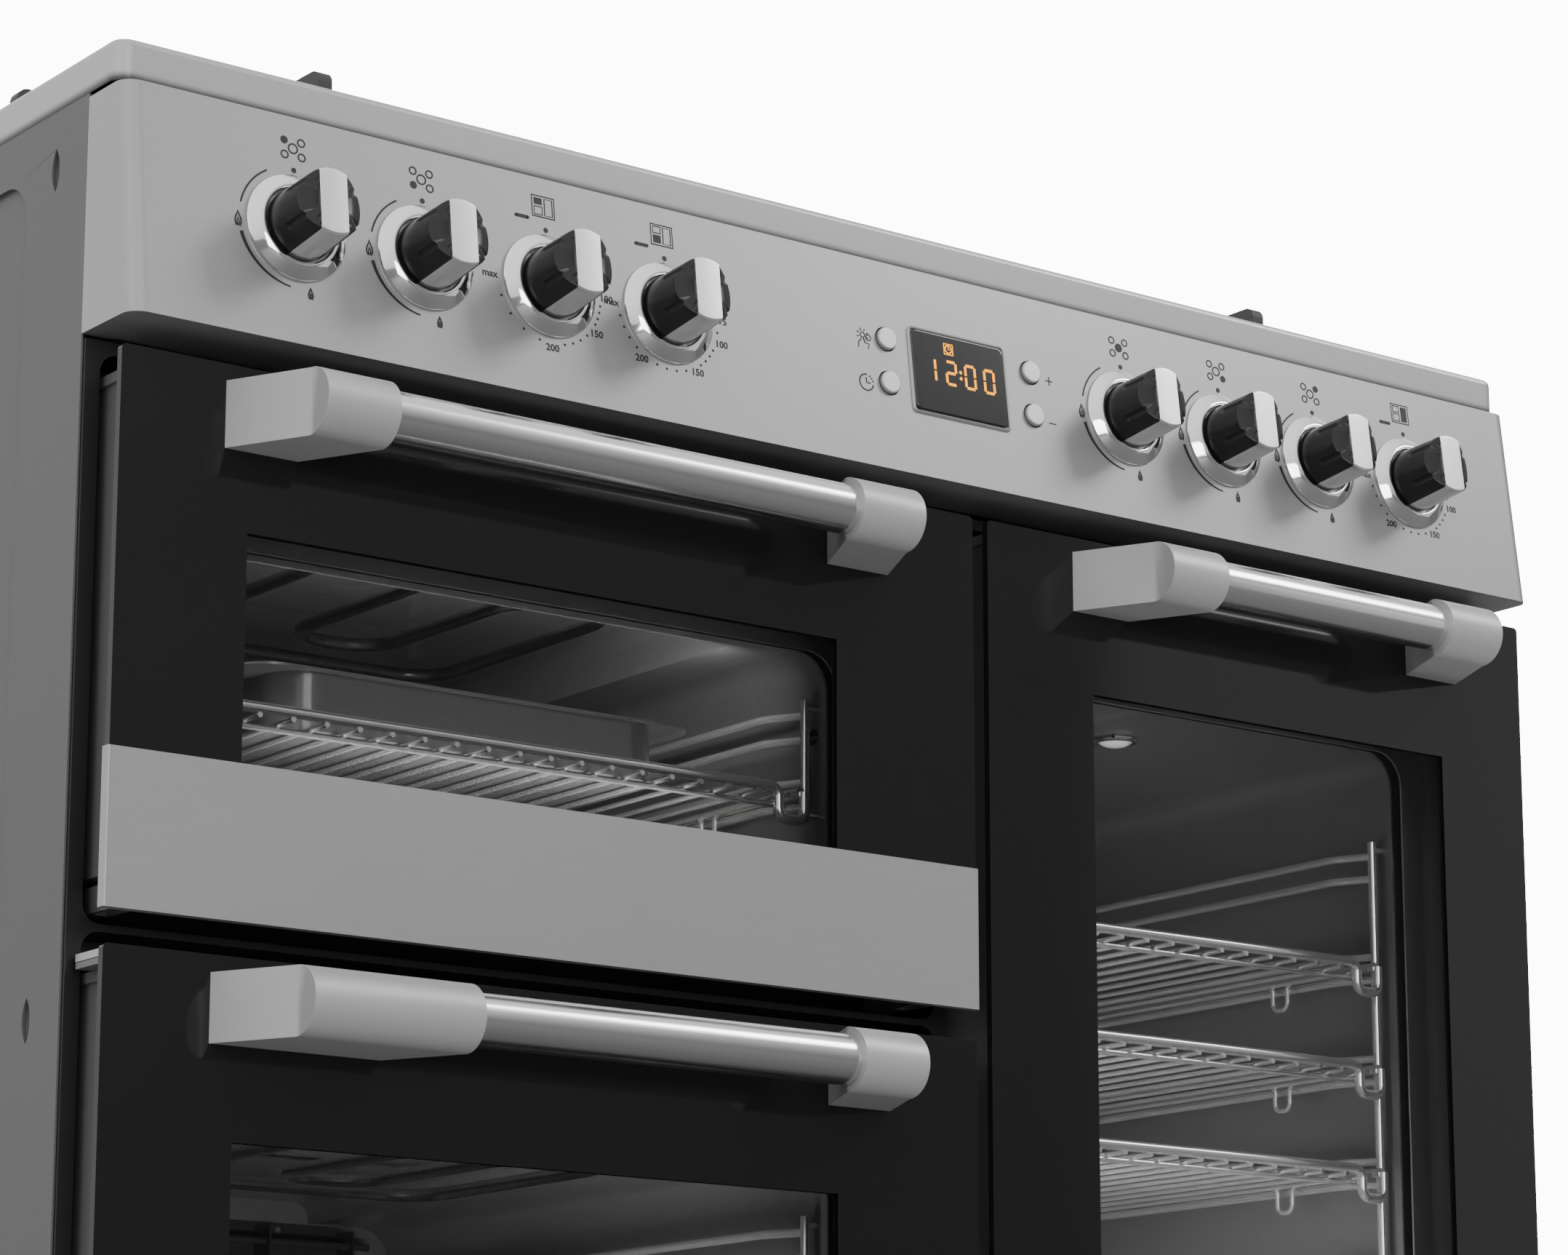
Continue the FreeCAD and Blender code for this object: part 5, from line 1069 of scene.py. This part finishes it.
CLOCK_CENTRE_MM, CLOCK_HALF_MM = (35, 0.5), (31, 22.5)
# Section of the rim: distance from the window's edge and height on the fascia.
CLOCK_RIM_MM = ((0.05, -0.2), (1.7, -0.2), (1.7, 0.3), (1.1, 0.95), (0.6, 1.3), (0.05, 1.0))
DIGITS_X_MM, DIGITS_Y_MM, COLON_X_MM = (15.4, 29.1, 41.8, 54.6), 2.0, 35.4
CLOCK_ICON_MM = (28.3, 15.2)


class COOKER_OT_clock(bpy.types.Operator):
    """Light the clock's digits and symbol behind its window"""

    bl_idname = "cooker.clock"
    bl_label = "Clock"

    SEGMENTS = {
        "a": ((0, 1), (1, 1)), "b": ((1, 1), (1, 0.5)), "c": ((1, 0.5), (1, 0)), "d": ((0, 0), (1, 0)),
        "e": ((0, 0.5), (0, 0)), "f": ((0, 1), (0, 0.5)), "g": ((0, 0.5), (1, 0.5)),
    }
    DIGITS = {"0": "abcdef", "1": "bc", "2": "abged"}

    def execute(self, context):
        clock = settings()[2]
        high = clock.digit_height / MM
        wide = high * 0.5
        ink = Ink(1.58, 1.66)
        for digit, x in zip("1200", DIGITS_X_MM, strict=True):
            for segment in self.DIGITS[digit]:
                (x0, y0), (x1, y1) = self.SEGMENTS[segment]
                start, end = Vector((x0 * wide, y0 * high)), Vector((x1 * wide, y1 * high))
                trim = (end - start).normalized() * 0.5
                line = [start + trim, end - trim]
                ink.stroke([(x + p.x - wide / 2, DIGITS_Y_MM + p.y - high / 2) for p in line], 1.5)
        for y in (-1.7, 1.7):
            ink.disc(COLON_X_MM, DIGITS_Y_MM + y, 0.95, 14)
        square = [(-2.9, -2.9), (2.9, -2.9), (2.9, 2.9), (-2.9, 2.9)]
        ink.stroke(moved(square, *CLOCK_ICON_MM), 0.8, closed=True)
        ink.ring(*CLOCK_ICON_MM, 2.1, 0.7)
        ink.stroke(moved([(0, 1.4), (0, 0), (1.1, 0)], *CLOCK_ICON_MM), 0.6)
        mesh = ink.mesh("clock_digits", look_of("digit_light"), FASCIA_PLACE)
        show("clock_digits", mesh, "timer_module")
        rounded_node("clock_window", "timer_module", "display_plastic", 0.0005)
        build("clock_rim", [(self.rim(), "stainless")], "control_panel", place=FASCIA_MM)
        return {"FINISHED"}

    @staticmethod
    def rim():
        """The raised steel rim round the window, in millimetres on the fascia."""
        rings = []
        for margin, height in CLOCK_RIM_MM:
            corner = 1.5 + margin
            x, y = (half + margin - corner for half in CLOCK_HALF_MM)
            ring = []
            for start, side, end in ((0, 1, 1), (90, -1, 1), (180, -1, -1), (270, 1, -1)):
                ring += moved(arc(side * x, end * y, corner, start, start + 90, 7), *CLOCK_CENTRE_MM)
            rings.append([(px, py, height) for px, py in ring])
        return looped(rings)


class COOKER_OT_doors(bpy.types.Operator):
    """Show the doors' printed glass, inner panes, liners and handles"""

    bl_idname = "cooker.doors"
    bl_label = "Doors"

    def execute(self, context):
        glass = settings()[1]
        wide = (glass.window_left, glass.window_right)
        tall = (glass.tall_left, glass.tall_right)
        for door, heights in WINDOW_HEIGHTS.items():
            sides = tall if door == "right_door" else wide
            self.panes(door, (*sides, *heights), glass.clear_alpha)
            self.handle(door)
            rounded_node(door + "_liner_painted", door + "_liner", "liner_paint", 0.0005)
        return {"FINISHED"}

    @staticmethod
    def panes(door, window, clear):
        node = door + "_glass"
        look = material(node + "_print", MOTTLE, 0.009, 0.07, 60, 0.05, 0.02, Specular_IOR_Level=0.3)
        tree = look.node_tree
        edges = dict(zip(("Left", "Right", "Bottom", "Top"), window, strict=True))
        values = {**edges, "Clear Alpha": clear}
        masks = add(tree, "ShaderNodeGroup", values, node_tree=bpy.data.node_groups[WINDOW_PRINT])
        tree.links.new(masks.outputs["Alpha"], tree.nodes["Principled BSDF"].inputs["Alpha"])
        outer, inner = sorted(merged_solids(node), key=lambda shape: span(shape.verts)[0].y)
        build(door + "_outer_pane", [(outer, look.name)], node, [node], 0.0008)
        build(door + "_inner_pane", [(inner, "inner_glass")], node, [node], 0.0004)

    @staticmethod
    def handle(door):
        node = door + "_handle"
        *brackets, tube = sorted(merged_solids(node), key=width_of)
        build(node + "_tube", [(tube, "handle_steel")], node, [node], 0.0004)
        painted = [(shape, "bracket_paint") for shape in brackets]
        build(node + "_brackets", painted, node, [node], 0.0012, segments=3)


LAMP_AT = (0.252, -0.161, 0.6808)
LAMP_RING_MM = ((9.6, 0), (13.4, 0), (13.4, -1.0), (12.6, -2.4), (11.2, -3.0), (10.2, -2.6), (9.6, -1.6))
LAMP_LENS_MM = ((9.5, 0), (9.5, -1.4), (8.0, -3.0), (5.0, -4.2), (1.0, -4.6))


class COOKER_OT_oven_lamp(bpy.types.Operator):
    """Fit the round lamp with its ring under the right oven's ceiling"""

    bl_idname = "cooker.oven_lamp"
    bl_label = "Oven lamp"

    def execute(self, context):
        dome = faced_outward(capped([level_circle(*row, 48) for row in LAMP_LENS_MM]))
        shapes = [(lathe(LAMP_RING_MM, 48), "bezel_chrome"), (dome, "lamp_lens")]
        place = Matrix.Translation(LAMP_AT) @ Matrix.Scale(MM, 4)
        build("right_oven_lamp", shapes, "oven_cavity_right", place=place, sharp=50)
        return {"FINISHED"}


# Soft square lights: name, place, target, size and share of the key light's power.
LIGHTS = (
    ("key", (2.7, -2.1, 3.2), (0, -0.3, 0.8), 1.2, 1.0),
    ("front_fill", (-1.2, -4.2, 0.9), (-0.1, 0, 0.6), 1.4, 0.9),
    ("side_fill", (4.3, -3.2, 1.2), (0.2, -0.3, 0.6), 2.4, 0.2),
    ("left_fill", (-3.6, -1.6, 2.0), (-0.3, -0.2, 0.8), 2.0, 0.12),
    ("back_fill", (0.6, 4.2, 2.2), (0, 0.2, 0.6), 2.4, 0.6),
)
# Faint lights inside the ovens: name, place, target, width, height and share of the oven glow.
OVEN_GLOWS = (
    ("top_left_glow", (-0.2, -0.205, 0.572), (-0.2, 0.1, 0.76), 0.26, 0.04, 0.45),
    ("top_left_upper_glow", (-0.2, -0.212, 0.66), (-0.2, 0.1, 0.69), 0.30, 0.02, 0.5),
    ("lower_left_glow", (-0.2, -0.205, 0.27), (-0.2, 0.1, 0.42), 0.26, 0.04, 1.0),
    ("right_glow", (0.22, -0.205, 0.34), (0.3, 0.15, 0.7), 0.26, 0.04, 0.6),
    ("right_side_glow", (0.116, -0.185, 0.46), (0.33, 0.05, 0.53), 0.03, 0.36, 1.4),
)
FLOOR_HALF = 60
# The studio is brightest toward this direction.
BRIGHT_SIDE = (-0.6, 0.1, 0.78)
BACKDROP_STRENGTH = 12.0
CAMERA_AT = (-1.3436, -1.9586, 0.1599)
CAMERA_UP, CAMERA_RIGHT = math.radians(11.674), math.radians(37.141)
CAMERA_LENS_MM, CAMERA_SHIFT = 99.94, 0.1


class COOKER_OT_stage(bpy.types.Operator):
    """Place the floor, the soft lights and the camera of the photo"""

    bl_idname = "cooker.stage"
    bl_label = "Stage"

    def execute(self, context):
        stage = settings()[3]
        scene = context.scene
        mesh = bpy.data.meshes.new("floor")
        far = FLOOR_HALF
        mesh.from_pydata([(-far, -far, 0), (far, -far, 0), (far, far, 0), (-far, far, 0)], [], [(0, 1, 2, 3)])
        look = material("floor_paint", MOTTLE, tuple(stage.floor_color), 0.7, 30, 0.02, 0.05)
        tree = look.node_tree
        surface = tree.nodes["Principled BSDF"]
        colour = surface.inputs["Base Color"].links[0].from_socket
        # Seen in reflections the floor turns dark grey: painted shade in the reflections on the steel.
        mirrored = add(tree, "ShaderNodeLightPath").outputs["Is Glossy Ray"]
        mix = {"Factor": mirrored, 6: colour, 7: (0.1, 0.1, 0.1, 1)}
        dimmed = add(tree, "ShaderNodeMix", mix, data_type="RGBA")
        tree.links.new(dimmed.outputs[2], surface.inputs["Base Color"])
        mesh.materials.append(look)
        floor = bpy.data.objects.new("floor", mesh)
        scene.collection.objects.link(floor)
        for name, place, target, size, share in LIGHTS:
            self.light(name, place, target, size, stage.key_power * share)
        for name, place, target, wide, high, share in OVEN_GLOWS:
            glow = self.light(name, place, target, wide, stage.oven_glow * share)
            glow.data.shape = "RECTANGLE"
            glow.data.size_y = high
            glow.visible_camera = False
            glow.visible_glossy = False
        world = bpy.data.worlds.new("studio")
        world.use_nodes = True
        tree = world.node_tree
        tree.nodes.clear()
        seen = add(tree, "ShaderNodeLightPath").outputs["Is Camera Ray"]
        facing = add(tree, "ShaderNodeTexCoord").outputs["Generated"]
        toward = add(tree, "ShaderNodeVectorMath", {0: facing, 1: BRIGHT_SIDE}, operation="DOT_PRODUCT")
        ramp = {
            "Value": toward.outputs["Value"], "From Min": -0.6, "From Max": 0.8,
            "To Min": 0.12 * stage.sky, "To Max": stage.sky,
        }
        fade = add(tree, "ShaderNodeMapRange", ramp, interpolation_type="SMOOTHSTEP")
        white = (1, 1, 1, 1)
        around = add(tree, "ShaderNodeBackground", {"Color": white, "Strength": fade.outputs[0]})
        behind = add(tree, "ShaderNodeBackground", {"Color": white, "Strength": BACKDROP_STRENGTH})
        both = add(tree, "ShaderNodeMixShader", {0: seen, 1: around.outputs[0], 2: behind.outputs[0]})
        add(tree, "ShaderNodeOutputWorld", {"Surface": both.outputs[0]})
        scene.world = world
        data = bpy.data.cameras.new("photo_camera")
        data.sensor_width = 36
        data.lens = CAMERA_LENS_MM
        data.shift_y = CAMERA_SHIFT
        data.clip_start, data.clip_end = 0.05, 300
        camera = bpy.data.objects.new("photo_camera", data)
        camera.location = CAMERA_AT
        camera.rotation_euler = (math.pi / 2 + CAMERA_UP, 0, -CAMERA_RIGHT)
        scene.collection.objects.link(camera)
        scene.camera = camera
        return {"FINISHED"}

    @staticmethod
    def light(name, place, target, size, power):
        data = bpy.data.lights.new(name, "AREA")
        data.shape = "SQUARE"
        data.size = size
        data.energy = power
        lamp = bpy.data.objects.new(name, data)
        lamp.location = place
        lamp.rotation_euler = (Vector(target) - Vector(place)).to_track_quat("-Z", "Y").to_euler()
        bpy.context.scene.collection.objects.link(lamp)
        return lamp


class COOKER_PT_panel(bpy.types.Panel):
    """Builds the cooker's looks piece by piece"""

    bl_idname = "COOKER_PT_panel"
    bl_label = "Range cooker"
    bl_space_type = "VIEW_3D"
    bl_region_type = "UI"
    bl_category = "Cooker"

    def draw(self, context):
        for operator in OPERATORS:
            self.layout.operator(operator.bl_idname)
        for holder in settings():
            box = self.layout.box()
            for name in holder.__annotations__:
                box.prop(holder, name)


OPERATORS = (
    COOKER_OT_materials,
    COOKER_OT_sheet_metal,
    COOKER_OT_knobs,
    COOKER_OT_markings,
    COOKER_OT_dial_dots,
    COOKER_OT_back_screws,
    COOKER_OT_clock,
    COOKER_OT_doors,
    COOKER_OT_oven_lamp,
    COOKER_OT_stage,
)
GROUPS = {
    "cooker_finish": CookerFinishSettings,
    "cooker_glass": CookerGlassSettings,
    "cooker_clock": CookerClockSettings,
    "cooker_stage": CookerStageSettings,
}


def register():
    for kind in (*GROUPS.values(), *OPERATORS, COOKER_PT_panel):
        bpy.utils.register_class(kind)
    for name, kind in GROUPS.items():
        setattr(bpy.types.Scene, name, bpy.props.PointerProperty(type=kind))


def unregister():
    for name in GROUPS:
        delattr(bpy.types.Scene, name)
    for kind in reversed((*GROUPS.values(), *OPERATORS, COOKER_PT_panel)):
        bpy.utils.unregister_class(kind)


def main():
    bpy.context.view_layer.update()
    register()
    for operator in OPERATORS:
        area, name = operator.bl_idname.split(".")
        getattr(getattr(bpy.ops, area), name)()


if __name__ == "__main__":
    main()
